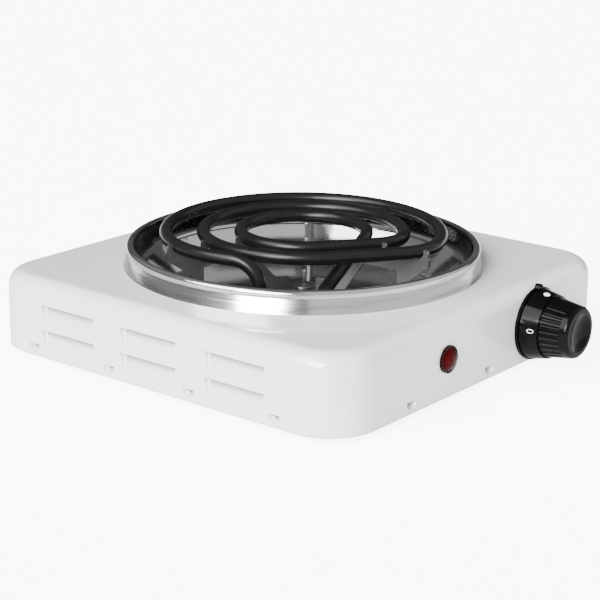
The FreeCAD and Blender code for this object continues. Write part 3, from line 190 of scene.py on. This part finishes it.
class HotPlateMarks(bpy.types.PropertyGroup):
    """Printed marks on the knob's skirt."""

    dot_radius: bpy.props.FloatProperty(
        name="Dot radius", description="Radius of the pointer dot", default=0.0016, unit="LENGTH"
    )
    digit_height: bpy.props.FloatProperty(
        name="Digit height", description="Height of the digits", default=0.0036, unit="LENGTH"
    )
    skirt_radius: bpy.props.FloatProperty(
        name="Skirt radius", description="Skirt radius at the wall side", default=0.0176, unit="LENGTH"
    )
    skirt_top_radius: bpy.props.FloatProperty(
        name="Skirt top radius",
        description="Skirt radius at the grip side",
        default=0.0158,
        unit="LENGTH",
    )
    skirt_length: bpy.props.FloatProperty(
        name="Skirt length", description="Length of the skirt", default=0.0086, unit="LENGTH"
    )
    skirt_back: bpy.props.FloatProperty(
        name="Skirt back",
        description="From the front wall out to the skirt",
        default=0.0022,
        unit="LENGTH",
    )
    ink_lift: bpy.props.FloatProperty(
        name="Ink lift", description="Height of the ink over the skirt", default=0.00004, unit="LENGTH"
    )


class HotPlateStage(bpy.types.PropertyGroup):
    """Floor, lights and camera."""

    floor: bpy.props.FloatVectorProperty(
        name="Floor", description="Colour of the floor", subtype="COLOR", default=(0.92, 0.92, 0.92)
    )
    floor_glow: bpy.props.FloatProperty(
        name="Floor glow",
        description="How far the floor outshines what it gives the object",
        default=7.0,
    )
    floor_size: bpy.props.FloatProperty(
        name="Floor size", description="Side of the floor", default=14.0, unit="LENGTH"
    )
    surround: bpy.props.FloatProperty(
        name="Surround", description="Strength of the light from all round", default=0.14
    )
    left_light: bpy.props.FloatProperty(
        name="Left light", description="Strength of the left light", default=9.6
    )
    front_light: bpy.props.FloatProperty(
        name="Front light", description="Strength of the front light", default=2.4
    )
    top_light: bpy.props.FloatProperty(
        name="Top light", description="Strength of the overhead light", default=5.2
    )
    rear_light: bpy.props.FloatProperty(
        name="Rear light", description="Strength of the rear light", default=0.4
    )
    softness: bpy.props.FloatProperty(
        name="Softness",
        description="Angle that the left light fills",
        subtype="ANGLE",
        default=math.radians(32),
    )
    top_softness: bpy.props.FloatProperty(
        name="Top softness",
        description="Angle that the overhead light fills",
        subtype="ANGLE",
        default=math.radians(45),
    )
    fill_softness: bpy.props.FloatProperty(
        name="Fill softness",
        description="Angle that each other light fills",
        subtype="ANGLE",
        default=math.radians(120),
    )
    camera_at: bpy.props.FloatVectorProperty(
        name="Camera place",
        description="Where the camera stands",
        unit="LENGTH",
        default=(-0.687632, -0.537705, 0.292211),
    )
    camera_turn: bpy.props.FloatVectorProperty(
        name="Camera turn",
        description="Azimuth, elevation and roll of the camera, in degrees",
        default=(-51.287, 17.147, 0.636),
    )
    lens: bpy.props.FloatProperty(name="Focal length", description="In millimetres", default=108.883)


# Node helpers


def feed(tree, node, values):
    """Give a node's inputs, by label or number, a socket to follow or a plain value."""
    for label, value in values.items():
        if isinstance(value, bpy.types.NodeSocket):
            tree.links.new(value, node.inputs[label])
        else:
            node.inputs[label].default_value = value


def number_math(tree, operation, *values):
    """A number worked out from sockets and plain numbers."""
    node = tree.nodes.new("ShaderNodeMath")
    node.operation = operation
    feed(tree, node, dict(enumerate(values)))
    return node.outputs["Value"]


def vector_math(tree, operation, *values):
    """A vector, or a length, worked out from sockets and plain vectors."""
    node = tree.nodes.new("ShaderNodeVectorMath")
    node.operation = operation
    feed(tree, node, dict(enumerate(values)))
    return node.outputs["Value" if operation == "LENGTH" else "Vector"]


def map_range(tree, value, low, high, to_low=0.0, to_high=1.0):
    """A number moved from one range to another and held inside it."""
    node = tree.nodes.new("ShaderNodeMapRange")
    feed(
        tree,
        node,
        {"Value": value, "From Min": low, "From Max": high, "To Min": to_low, "To Max": to_high},
    )
    return node.outputs["Result"]


def noise(tree, vector, scale, detail, roughness=0.5):
    """Soft noise between 0 and 1."""
    node = tree.nodes.new("ShaderNodeTexNoise")
    feed(tree, node, {"Vector": vector, "Scale": scale, "Detail": detail, "Roughness": roughness})
    return node.outputs["Fac"]


def mixed(tree, share, first, second):
    """A colour between two others."""
    node = tree.nodes.new("ShaderNodeMix")
    node.data_type = "RGBA"
    # The node keeps its two colours at 6 and 7, and their mix at 2.
    feed(tree, node, {0: share, 6: first, 7: second})
    return node.outputs[2]


def height_of(tree, place):
    """The Z of a place."""
    node = tree.nodes.new("ShaderNodeSeparateXYZ")
    tree.links.new(place, node.inputs["Vector"])
    return node.outputs["Z"]


def distance_from_axis(tree, place, centre, across):
    """How far a place is from a line through a centre, along the axes that across keeps."""
    shift = vector_math(tree, "SUBTRACT", place, centre)
    return vector_math(tree, "LENGTH", vector_math(tree, "MULTIPLY", shift, across))


# Shader groups


def new_group(name, inputs, outputs):
    """An empty shader group with these sockets; returns the tree, what comes in and its output node."""
    tree = bpy.data.node_groups.new(name, "ShaderNodeTree")
    for label, kind, default in inputs:
        socket = tree.interface.new_socket(name=label, in_out="INPUT", socket_type=kind)
        if default is not None:
            socket.default_value = default
    for label, kind in outputs:
        tree.interface.new_socket(name=label, in_out="OUTPUT", socket_type=kind)
    return tree, tree.nodes.new("NodeGroupInput").outputs, tree.nodes.new("NodeGroupOutput")


def shared_group(name, build):
    """The group of this name, built once."""
    return bpy.data.node_groups.get(name) or build(name)


def build_grain(name):
    """Fine even grain: a roughness that wanders about its middle, and a height for a bump."""
    tree, source, result = new_group(
        name,
        [
            ("Vector", "NodeSocketVector", None),
            ("Scale", "NodeSocketFloat", 400.0),
            ("Middle", "NodeSocketFloat", 0.3),
            ("Spread", "NodeSocketFloat", 0.05),
        ],
        [("Roughness", "NodeSocketFloat"), ("Height", "NodeSocketFloat")],
    )
    speckle = noise(tree, source["Vector"], source["Scale"], 4.0)
    low = number_math(tree, "SUBTRACT", source["Middle"], source["Spread"])
    width = number_math(tree, "MULTIPLY", source["Spread"], 2.0)
    wander = number_math(tree, "MULTIPLY_ADD", speckle, width, low)
    feed(tree, result, {"Roughness": wander, "Height": speckle})
    return tree


def build_mottle(name):
    """Soft patches between two colours."""
    tree, source, result = new_group(
        name,
        [
            ("Vector", "NodeSocketVector", None),
            ("Scale", "NodeSocketFloat", 40.0),
            ("First", "NodeSocketColor", (0.5, 0.5, 0.5, 1)),
            ("Second", "NodeSocketColor", (0.4, 0.4, 0.4, 1)),
        ],
        [("Color", "NodeSocketColor")],
    )
    patches = noise(tree, source["Vector"], source["Scale"], 5.0, 0.6)
    share = map_range(tree, patches, 0.35, 0.7)
    feed(tree, result, {"Color": mixed(tree, share, source["First"], source["Second"])})
    return tree


def build_turned(name):
    """Grain that runs round the body's upright middle line, as on spun or rolled sheet."""
    tree, source, result = new_group(
        name,
        [
            ("Vector", "NodeSocketVector", None),
            ("Scale", "NodeSocketFloat", 900.0),
            ("Middle", "NodeSocketFloat", 0.2),
            ("Spread", "NodeSocketFloat", 0.05),
        ],
        [("Roughness", "NodeSocketFloat"), ("Height", "NodeSocketFloat")],
    )
    radius = distance_from_axis(tree, source["Vector"], BODY_CENTRE, (1, 1, 0))
    rings = tree.nodes.new("ShaderNodeCombineXYZ")
    feed(tree, rings, {"X": radius, "Z": height_of(tree, source["Vector"])})
    grain = tree.nodes.new("ShaderNodeGroup")
    grain.node_tree = shared_group("Even grain", build_grain)
    feed(tree, grain, {label: source[label] for label in ("Scale", "Middle", "Spread")})
    feed(tree, grain, {"Vector": rings.outputs["Vector"]})
    feed(tree, result, {label: grain.outputs[label] for label in ("Roughness", "Height")})
    return tree


def build_uneven(name):
    """Slow waves of thin pressed sheet, with a scale of their own along each axis."""
    tree, source, result = new_group(
        name,
        [("Vector", "NodeSocketVector", None), ("Stretch", "NodeSocketVector", (40, 40, 40))],
        [("Height", "NodeSocketFloat")],
    )
    scaled = vector_math(tree, "MULTIPLY", source["Vector"], source["Stretch"])
    feed(tree, result, {"Height": noise(tree, scaled, 1.0, 2.0)})
    return tree


def build_inner_band(name):
    """A mask of what lies nearer than an edge to a line through a centre."""
    tree, source, result = new_group(
        name,
        [
            ("Vector", "NodeSocketVector", None),
            ("Centre", "NodeSocketVector", BODY_CENTRE),
            ("Across", "NodeSocketVector", (1, 1, 0)),
            ("Edge", "NodeSocketFloat", 0.085),
            ("Blend", "NodeSocketFloat", 0.001),
        ],
        [("Mask", "NodeSocketFloat")],
    )
    radius = distance_from_axis(tree, source["Vector"], source["Centre"], source["Across"])
    beyond = number_math(tree, "ADD", source["Edge"], source["Blend"])
    feed(tree, result, {"Mask": map_range(tree, radius, source["Edge"], beyond, 1.0, 0.0)})
    return tree


def build_painted_pressing_shade(name):
    """A mask of painted shade, darker deeper in what is pressed in from the body's walls, and a thin line
    of painted shade along their lower edge.
    """
    tree, source, result = new_group(
        name,
        [
            ("Vector", "NodeSocketVector", None),
            ("Start", "NodeSocketFloat", 0.0012),
            ("Depth", "NodeSocketFloat", 0.0026),
            ("Below", "NodeSocketFloat", 0.0315),
            ("Edge", "NodeSocketFloat", 0.0042),
            ("Edge Shade", "NodeSocketFloat", 0.4),
        ],
        [("Mask", "NodeSocketFloat")],
    )
    mirrored = vector_math(tree, "ABSOLUTE", vector_math(tree, "SUBTRACT", source["Vector"], BODY_CENTRE))
    # The 1 m keeps the height out of the corner's reach.
    corner = (BODY_HALF[0] - BODY_CORNER, BODY_HALF[1] - BODY_CORNER, 1.0)
    past_corner = vector_math(tree, "SUBTRACT", mirrored, corner)
    reach = vector_math(tree, "LENGTH", vector_math(tree, "MAXIMUM", past_corner, (0, 0, 0)))
    start = number_math(tree, "SUBTRACT", BODY_CORNER, source["Start"])
    bottom = number_math(tree, "SUBTRACT", BODY_CORNER, source["Depth"])
    height = height_of(tree, source["Vector"])
    under = number_math(tree, "LESS_THAN", height, source["Below"])
    # Painted shade in the louvres and lances, darker the deeper they are pressed in.
    pressed = number_math(tree, "MULTIPLY", map_range(tree, reach, start, bottom), under)
    # Painted shade along the walls' lower edge.
    edge = map_range(tree, height, BODY_BOTTOM, source["Edge"], source["Edge Shade"], 0.0)
    feed(tree, result, {"Mask": number_math(tree, "MAXIMUM", pressed, edge)})
    return tree


# Materials


def opaque(color):
    """A colour with its alpha."""
    return (*color, 1.0)


def dimmed(color, share):
    """A colour with each channel times a share."""
    return [channel * share for channel in color]


def new_material(name):
    """A material with nodes; returns it with its tree and its shader."""
    material = bpy.data.materials.new(name)
    material.use_nodes = True
    tree = material.node_tree
    return material, tree, tree.nodes["Principled BSDF"]


def set_shader(material, values):
    """Set plain values on a material's shader."""
    tree = material.node_tree
    feed(tree, tree.nodes["Principled BSDF"], values)


def place_in(tree):
    """The shaded object's own coordinates, from one node per material."""
    node = tree.nodes.get("place")
    if node is None:
        node = tree.nodes.new("ShaderNodeTexCoord")
        node.name = "place"
    return node.outputs["Object"]


def add_group(tree, name, build, **values):
    """One of the shared groups, on the shaded object's own coordinates; returns its outputs."""
    node = tree.nodes.new("ShaderNodeGroup")
    node.node_tree = shared_group(name, build)
    feed(tree, node, {"Vector": place_in(tree), **values})
    return node.outputs


def add_bump(tree, shader, height, strength, distance):
    """Raise the surface by a height, on top of any bump that the shader has already."""
    bump = tree.nodes.new("ShaderNodeBump")
    feed(tree, bump, {"Height": height, "Strength": strength, "Distance": distance})
    for link in shader.inputs["Normal"].links:
        tree.links.new(link.from_socket, bump.inputs["Normal"])
    tree.links.new(bump.outputs["Normal"], shader.inputs["Normal"])


def tint_by_mask(tree, shader, mask, first, second):
    """Base colour that goes from the first colour, or what feeds the shader already, to the second."""
    base = opaque(first)
    for link in shader.inputs["Base Color"].links:
        base = link.from_socket
    tree.links.new(mixed(tree, mask, base, opaque(second)), shader.inputs["Base Color"])


def grained(
    name, color, roughness, spread=0.05, scale=600.0, metallic=0.0, bump=0.0, second=None, patch=40.0
):
    """A material with even grain, and soft patches of a second colour where one is given."""
    material, tree, shader = new_material(name)
    grain = add_group(tree, "Even grain", build_grain, Scale=scale, Middle=roughness, Spread=spread)
    feed(
        tree,
        shader,
        {"Base Color": opaque(color), "Metallic": metallic, "Roughness": grain["Roughness"]},
    )
    if second is not None:
        mottle = add_group(
            tree, "Soft mottle", build_mottle, Scale=patch, First=opaque(color), Second=opaque(second)
        )
        tree.links.new(mottle["Color"], shader.inputs["Base Color"])
    if bump:
        add_bump(tree, shader, grain["Height"], bump, GRAIN_DEPTH)
    return material


def spun(name, color, roughness, spread, scale, bump, stretch, wave, metallic=1.0):
    """A bright metal with slow waves, whose grain runs round the body's middle."""
    material, tree, shader = new_material(name)
    grain = add_group(tree, "Turned grain", build_turned, Scale=scale, Middle=roughness, Spread=spread)
    feed(
        tree,
        shader,
        {"Base Color": opaque(color), "Metallic": metallic, "Roughness": grain["Roughness"]},
    )
    add_bump(tree, shader, grain["Height"], bump, TURNED_DEPTH)
    uneven = add_group(tree, "Uneven sheet", build_uneven, Stretch=stretch)
    add_bump(tree, shader, uneven["Height"], wave, WAVE_DEPTH)
    return material


def paint(names, material):
    """Give CAD nodes a material in place of their packed ones."""
    for name in names:
        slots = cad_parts[name].material_slots
        if not slots:
            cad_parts[name].data.materials.append(material)
        for slot in slots:
            slot.material = material


# Marks on the knob


def on_skirt(marks, across, along, turn):
    """A point of the skirt: across in metres round it from a turn, along in metres out from its back."""
    share = along / marks.skirt_length
    radius = marks.skirt_radius + (marks.skirt_top_radius - marks.skirt_radius) * share + marks.ink_lift
    angle = math.radians(90 + turn) - across / radius
    return Vector(
        (
            KNOB_AXIS.x + radius * math.cos(angle),
            KNOB_AXIS.y - marks.skirt_back - along,
            KNOB_AXIS.z + radius * math.sin(angle),
        )
    )


def skirt_mark(name, flat_mesh, marks, turn, material):
    """Wrap a flat mesh, X across and Y up towards the wall, round the skirt and let it ride the knob."""
    middle = marks.skirt_length * MARK_ALONG_SKIRT
    for vertex in flat_mesh.vertices:
        vertex.co = on_skirt(marks, vertex.co.x, middle - vertex.co.y, turn)
    flat_mesh.materials.clear()
    flat_mesh.materials.append(material)
    mark = bpy.data.objects.new(name, flat_mesh)
    bpy.context.scene.collection.objects.link(mark)
    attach(mark, "knob")


def dot_mesh(radius):
    """A flat disc of rings, so that it can follow the skirt."""
    points = [(0, 0, 0)]
    for ring in range(1, DOT_RINGS + 1):
        reach = radius * ring / DOT_RINGS
        for step in range(DOT_STEPS):
            angle = 2 * math.pi * step / DOT_STEPS
            points.append((reach * math.cos(angle), reach * math.sin(angle), 0))
    faces = [(0, 1 + step, 1 + (step + 1) % DOT_STEPS) for step in range(DOT_STEPS)]
    for ring in range(DOT_RINGS - 1):
        inner = 1 + ring * DOT_STEPS
        outer = inner + DOT_STEPS
        for step in range(DOT_STEPS):
            after = (step + 1) % DOT_STEPS
            faces.append((inner + step, outer + step, outer + after, inner + after))
    mesh = bpy.data.meshes.new("pointer_dot")
    mesh.from_pydata(points, [], faces)
    return mesh


def digit_mesh(text, height):
    """A digit as a flat mesh, its middle at the origin."""
    curve = bpy.data.curves.new(f"digit_{text}", "FONT")
    curve.body = text
    curve.size = height / DIGIT_HEIGHT_OF_FONT
    curve.align_x = "CENTER"
    curve.resolution_u = 6
    curve.offset = -DIGIT_THINNING * height
    holder = bpy.data.objects.new("digit_holder", curve)
    bpy.context.scene.collection.objects.link(holder)
    bpy.context.view_layer.update()
    graph = bpy.context.evaluated_depsgraph_get()
    mesh = bpy.data.meshes.new_from_object(holder.evaluated_get(graph))
    bpy.data.objects.remove(holder)
    bpy.data.curves.remove(curve)
    xs = [vertex.co.x for vertex in mesh.vertices]
    ys = [vertex.co.y for vertex in mesh.vertices]
    mesh.transform(Matrix.Translation((-(min(xs) + max(xs)) / 2, -(min(ys) + max(ys)) / 2, 0)))
    return mesh


# Operators


class HOTPLATE_OT_enamel_body(bpy.types.Operator):
    """Gloss white enamel with a faint orange peel on the pressed body, and painted shade in its pressings
    and along its lower edge
    """

    bl_idname = "hotplate.enamel_body"
    bl_label = "Enamel body"

    def execute(self, context):
        looks = context.scene.hotplate_looks
        material = grained(
            "white_enamel",
            looks.enamel,
            looks.enamel_roughness,
            spread=0.04,
            scale=260.0,
            bump=0.02,
            second=looks.enamel_second,
            patch=9.0,
        )
        set_shader(material, {"Coat Weight": 0.9, "Coat Roughness": 0.06})
        tree = material.node_tree
        shader = tree.nodes["Principled BSDF"]
        # Painted shade in the pressings and along the lower edge, mixed into the enamel's colour.
        pressing = add_group(tree, "Painted pressing shade", build_painted_pressing_shade)
        tint_by_mask(tree, shader, pressing["Mask"], looks.enamel, looks.enamel_painted_shade)
        paint(["body_shell"], material)
        return {"FINISHED"}


class HOTPLATE_OT_trim_ring(bpy.types.Operator):
    """Polished metal with rolled grain on the trim ring, and a painted dark reflection on its inner wall
    """

    bl_idname = "hotplate.trim_ring"
    bl_label = "Trim ring"

    def execute(self, context):
        looks = context.scene.hotplate_looks
        material = spun(
            "polished_ring",
            looks.ring,
            looks.ring_roughness,
            spread=0.06,
            scale=1500.0,
            bump=0.05,
            stretch=RING_STREAKS,
            wave=0.05,
        )
        tree = material.node_tree
        shader = tree.nodes["Principled BSDF"]
        streaks = add_group(tree, "Uneven sheet", build_uneven, Stretch=RING_STREAKS)
        smear = map_range(tree, streaks["Height"], 0.45, 0.7)
        tint_by_mask(tree, shader, smear, looks.ring, dimmed(looks.ring, 0.6))
        # Painted dark reflection of the coil on the ring's inner wall, inside the wall radius.
        band = add_group(tree, "Inner band", build_inner_band, Edge=RING_WALL_RADIUS, Blend=0.0012)
        tint_by_mask(tree, shader, band["Mask"], looks.ring, looks.ring_inside_painted_reflection)
        paint(["trim_ring"], material)
        return {"FINISHED"}


class HOTPLATE_OT_drip_pan(bpy.types.Operator):
    """Bright spun sheet on the reflector pan"""

    bl_idname = "hotplate.drip_pan"
    bl_label = "Reflector pan"

    def execute(self, context):
        looks = context.scene.hotplate_looks
        material = spun(
            "bright_pan",
            looks.pan,
            looks.pan_roughness,
            spread=0.05,
            scale=700.0,
            bump=0.05,
            stretch=PAN_WAVES,
            wave=0.08,
            metallic=0.97,
        )
        paint(["drip_pan"], material)
        return {"FINISHED"}


class HOTPLATE_OT_heating_coil(bpy.types.Operator):
    """Dark satin oxide on the coil's sheath"""

    bl_idname = "hotplate.heating_coil"
    bl_label = "Heating coil"

    def execute(self, context):
        looks = context.scene.hotplate_looks
        material = grained(
            "coil_sheath",
            looks.coil,
            looks.coil_roughness,
            spread=0.06,
            scale=900.0,
            bump=0.02,
            second=dimmed(looks.coil, 1.5),
            patch=90.0,
        )
        set_shader(material, {"Specular IOR Level": 0.18})
        paint(["heating_coil"], material)
        return {"FINISHED"}


class HOTPLATE_OT_supports(bpy.types.Operator):
    """Satin steel on the coil's supports and ceramic on its bushes"""

    bl_idname = "hotplate.supports"
    bl_label = "Coil supports"

    def execute(self, context):
        looks = context.scene.hotplate_looks
        steel = grained(
            "support_steel",
            looks.steel,
            0.36,
            spread=0.08,
            scale=1200.0,
            metallic=1.0,
            bump=0.04,
        )
        paint(["support_arm_rear", "support_arm_left", "support_arm_right"], steel)
        paint(["support_hub", "hub_screw", "hub_nut"], steel)
        ceramic = grained("ceramic", CERAMIC, 0.6, spread=0.08, scale=900.0, bump=0.08)
        paint(["outer_leg_bush", "inner_leg_bush", "thermostat_base"], ceramic)
        return {"FINISHED"}


class HOTPLATE_OT_control_knob(bpy.types.Operator):
    """Gloss black plastic and white printed marks on the knob"""

    bl_idname = "hotplate.control_knob"
    bl_label = "Control knob"

    def execute(self, context):
        looks = context.scene.hotplate_looks
        marks = context.scene.hotplate_marks
        material = grained("black_plastic", looks.knob, 0.22, spread=0.03, scale=700.0, bump=0.02)
        set_shader(material, {"Specular IOR Level": 0.03, "Coat Weight": 0.12, "Coat Roughness": 0.03})
        paint(["control_knob", "knob_bezel"], material)
        ink = grained("white_ink", INK, 0.5, spread=0.04, scale=900.0)
        skirt_mark("pointer_dot", dot_mesh(marks.dot_radius), marks, DOT_TURN, ink)
        for text, turn in DIGIT_TURNS.items():
            skirt_mark(f"digit_{text}", digit_mesh(text, marks.digit_height), marks, turn, ink)
        return {"FINISHED"}


class HOTPLATE_OT_lamp(bpy.types.Operator):
    """Deep red lens over a small neon"""

    bl_idname = "hotplate.lamp"
    bl_label = "Indicator lamp"

    def execute(self, context):
        looks = context.scene.hotplate_looks
        lens = grained("red_lens", looks.lens, 0.22, spread=0.03, scale=500.0)
        set_shader(lens, {"Specular IOR Level": 0.05})
        tree = lens.node_tree
        shader = tree.nodes["Principled BSDF"]
        facets = tree.nodes.new("ShaderNodeTexVoronoi")
        feed(tree, facets, {"Vector": place_in(tree), "Scale": 750.0})
        add_bump(tree, shader, facets.outputs["Distance"], 0.4, FACET_DEPTH)
        band = add_group(
            tree,
            "Inner band",
            build_inner_band,
            Centre=LAMP_AXIS,
            Across=(1, 0, 1),
            Edge=LENS_RIM_RADIUS,
            Blend=0.002,
        )
        tint_by_mask(tree, shader, band["Mask"], dimmed(looks.lens, 0.2), looks.lens)
        paint(["lamp_lens"], lens)
        neon = grained("neon_glass", NEON_GLASS, 0.05, spread=0.02, scale=500.0)
        set_shader(neon, {"Transmission Weight": 0.8})
        paint(["neon_bulb"], neon)
        plastic = grained("inner_plastic", INNER_PLASTIC, 0.5, spread=0.06)
        paint(["lamp_holder", "control_cam"], plastic)
        return {"FINISHED"}


class HOTPLATE_OT_base(bpy.types.Operator):
    """Galvanised tray, rubber feet and rubber cord grommet"""

    bl_idname = "hotplate.base"
    bl_label = "Base and feet"

    def execute(self, context):
        tray = grained(
            "tray_steel",
            TRAY_STEEL,
            0.42,
            spread=0.1,
            scale=300.0,
            metallic=1.0,
            bump=0.03,
            second=TRAY_PATCHES,
            patch=60.0,
        )
        paint(["base_tray"], tray)
        rubber = grained("rubber", RUBBER, 0.75, spread=0.08, scale=900.0, bump=0.1)
        paint(
            ["foot_front_left", "foot_front_right", "foot_rear_left", "foot_rear_right", "cord_grommet"],
            rubber,
        )
        return {"FINISHED"}


class HOTPLATE_OT_inner_parts(bpy.types.Operator):
    """Plated steel, brass and sleeved leads inside the body"""

    bl_idname = "hotplate.inner_parts"
    bl_label = "Inner parts"

    def execute(self, context):
        steel = grained("bright_steel", BRIGHT_STEEL, 0.3, spread=0.06, scale=900.0, metallic=1.0)
        paint(
            [
                "outer_leg_pin",
                "inner_leg_pin",
                "thermostat_bracket",
                "thermostat_screws",
                "spindle_circlip",
                "arm_pivot_pin",
                "lamp_clip",
            ],
            steel,
        )
        brass = grained("brass", BRASS, 0.3, spread=0.06, scale=900.0, metallic=1.0)
        paint(["thermostat_spindle", "thermostat_tabs", "contact_arm", "fixed_contact"], brass)
        sleeve = grained("lead_sleeve", LEAD_SLEEVE, 0.7, spread=0.08, scale=1500.0, bump=0.2)
        paint(["line_lead", "coil_lead", "neutral_lead", "lamp_coil_lead", "lamp_neutral_lead"], sleeve)
        return {"FINISHED"}


def add_light(name, comes_from, strength, softness):
    """A wide, far light that lights the whole floor alike."""
    data = bpy.data.lights.new(name, "SUN")
    data.energy = strength
    data.angle = softness
    light = bpy.data.objects.new(name, data)
    light.location = comes_from
    light.rotation_euler = Vector(comes_from).to_track_quat("Z", "Y").to_euler()
    bpy.context.scene.collection.objects.link(light)


class HOTPLATE_OT_stage(bpy.types.Operator):
    """Pale floor, soft lights and the camera at the photo's angle"""

    bl_idname = "hotplate.stage"
    bl_label = "Stage"

    def execute(self, context):
        stage = context.scene.hotplate_stage
        self.lay_floor(context, stage)
        self.set_surround(context, stage)
        add_light("left_light", LEFT_LIGHT_FROM, stage.left_light, stage.softness)
        add_light("front_light", FRONT_LIGHT_FROM, stage.front_light, stage.fill_softness)
        add_light("top_light", TOP_LIGHT_FROM, stage.top_light, stage.top_softness)
        add_light("rear_light", REAR_LIGHT_FROM, stage.rear_light, stage.fill_softness)
        self.place_camera(context, stage)
        return {"FINISHED"}

    def lay_floor(self, context, stage):
        """A pale floor that shows brighter to the camera than it lights the object."""
        half = stage.floor_size / 2
        corners = [(-half, -half, 0), (half, -half, 0), (half, half, 0), (-half, half, 0)]
        mesh = bpy.data.meshes.new("floor")
        mesh.from_pydata(corners, [], [[0, 1, 2, 3]])
        floor = bpy.data.objects.new("floor", mesh)
        context.scene.collection.objects.link(floor)
        material, tree, shader = new_material("floor")
        camera_ray = tree.nodes.new("ShaderNodeLightPath").outputs["Is Camera Ray"]
        glow = number_math(tree, "MULTIPLY", camera_ray, stage.floor_glow)
        feed(
            tree,
            shader,
            {
                "Base Color": opaque(stage.floor),
                "Roughness": 0.9,
                "Emission Color": opaque(WHITE),
                "Emission Strength": glow,
            },
        )
        mesh.materials.append(material)

    def set_surround(self, context, stage):
        """An even light from all round."""
        world = bpy.data.worlds.new("surround")
        world.use_nodes = True
        tree = world.node_tree
        feed(tree, tree.nodes["Background"], {"Color": opaque(WHITE), "Strength": stage.surround})
        context.scene.world = world

    def place_camera(self, context, stage):
        """The camera at the photo's angle, from its azimuth, elevation and roll."""
        turn, rise, roll = (math.radians(angle) for angle in stage.camera_turn)
        back = Vector((math.sin(turn) * math.cos(rise), -math.cos(turn) * math.cos(rise), math.sin(rise)))
        right = Vector((math.cos(turn), math.sin(turn), 0))
        up = back.cross(right)
        right, up = (
            right * math.cos(roll) + up * math.sin(roll),
            up * math.cos(roll) - right * math.sin(roll),
        )
        data = bpy.data.cameras.new("camera")
        data.lens = stage.lens
        data.sensor_width = SENSOR_WIDTH
        camera = bpy.data.objects.new("camera", data)
        context.scene.collection.objects.link(camera)
        turned = Matrix((right, up, back)).transposed().to_4x4()
        camera.matrix_world = Matrix.Translation(stage.camera_at) @ turned
        context.scene.camera = camera


class HOTPLATE_PT_panel(bpy.types.Panel):
    """Sidebar panel with one button per group of pieces"""

    bl_idname = "HOTPLATE_PT_panel"
    bl_label = "Hot plate"
    bl_space_type = "VIEW_3D"
    bl_region_type = "UI"
    bl_category = "Hot plate"

    def draw(self, context):
        for operator in OPERATORS:
            self.layout.operator(operator.bl_idname)


SETTINGS = {
    "hotplate_looks": HotPlateLooks,
    "hotplate_marks": HotPlateMarks,
    "hotplate_stage": HotPlateStage,
}
OPERATORS = (
    HOTPLATE_OT_enamel_body,
    HOTPLATE_OT_trim_ring,
    HOTPLATE_OT_drip_pan,
    HOTPLATE_OT_heating_coil,
    HOTPLATE_OT_supports,
    HOTPLATE_OT_control_knob,
    HOTPLATE_OT_lamp,
    HOTPLATE_OT_base,
    HOTPLATE_OT_inner_parts,
    HOTPLATE_OT_stage,
)


def register():
    for cls in (*SETTINGS.values(), *OPERATORS, HOTPLATE_PT_panel):
        bpy.utils.register_class(cls)
    for name, cls in SETTINGS.items():
        setattr(bpy.types.Scene, name, bpy.props.PointerProperty(type=cls))


def unregister():
    for name in SETTINGS:
        delattr(bpy.types.Scene, name)
    for cls in (HOTPLATE_PT_panel, *reversed(OPERATORS), *reversed(tuple(SETTINGS.values()))):
        bpy.utils.unregister_class(cls)


def main():
    register()
    for operator in OPERATORS:
        group, name = operator.bl_idname.split(".")
        getattr(getattr(bpy.ops, group), name)()


if __name__ == "__main__":
    main()
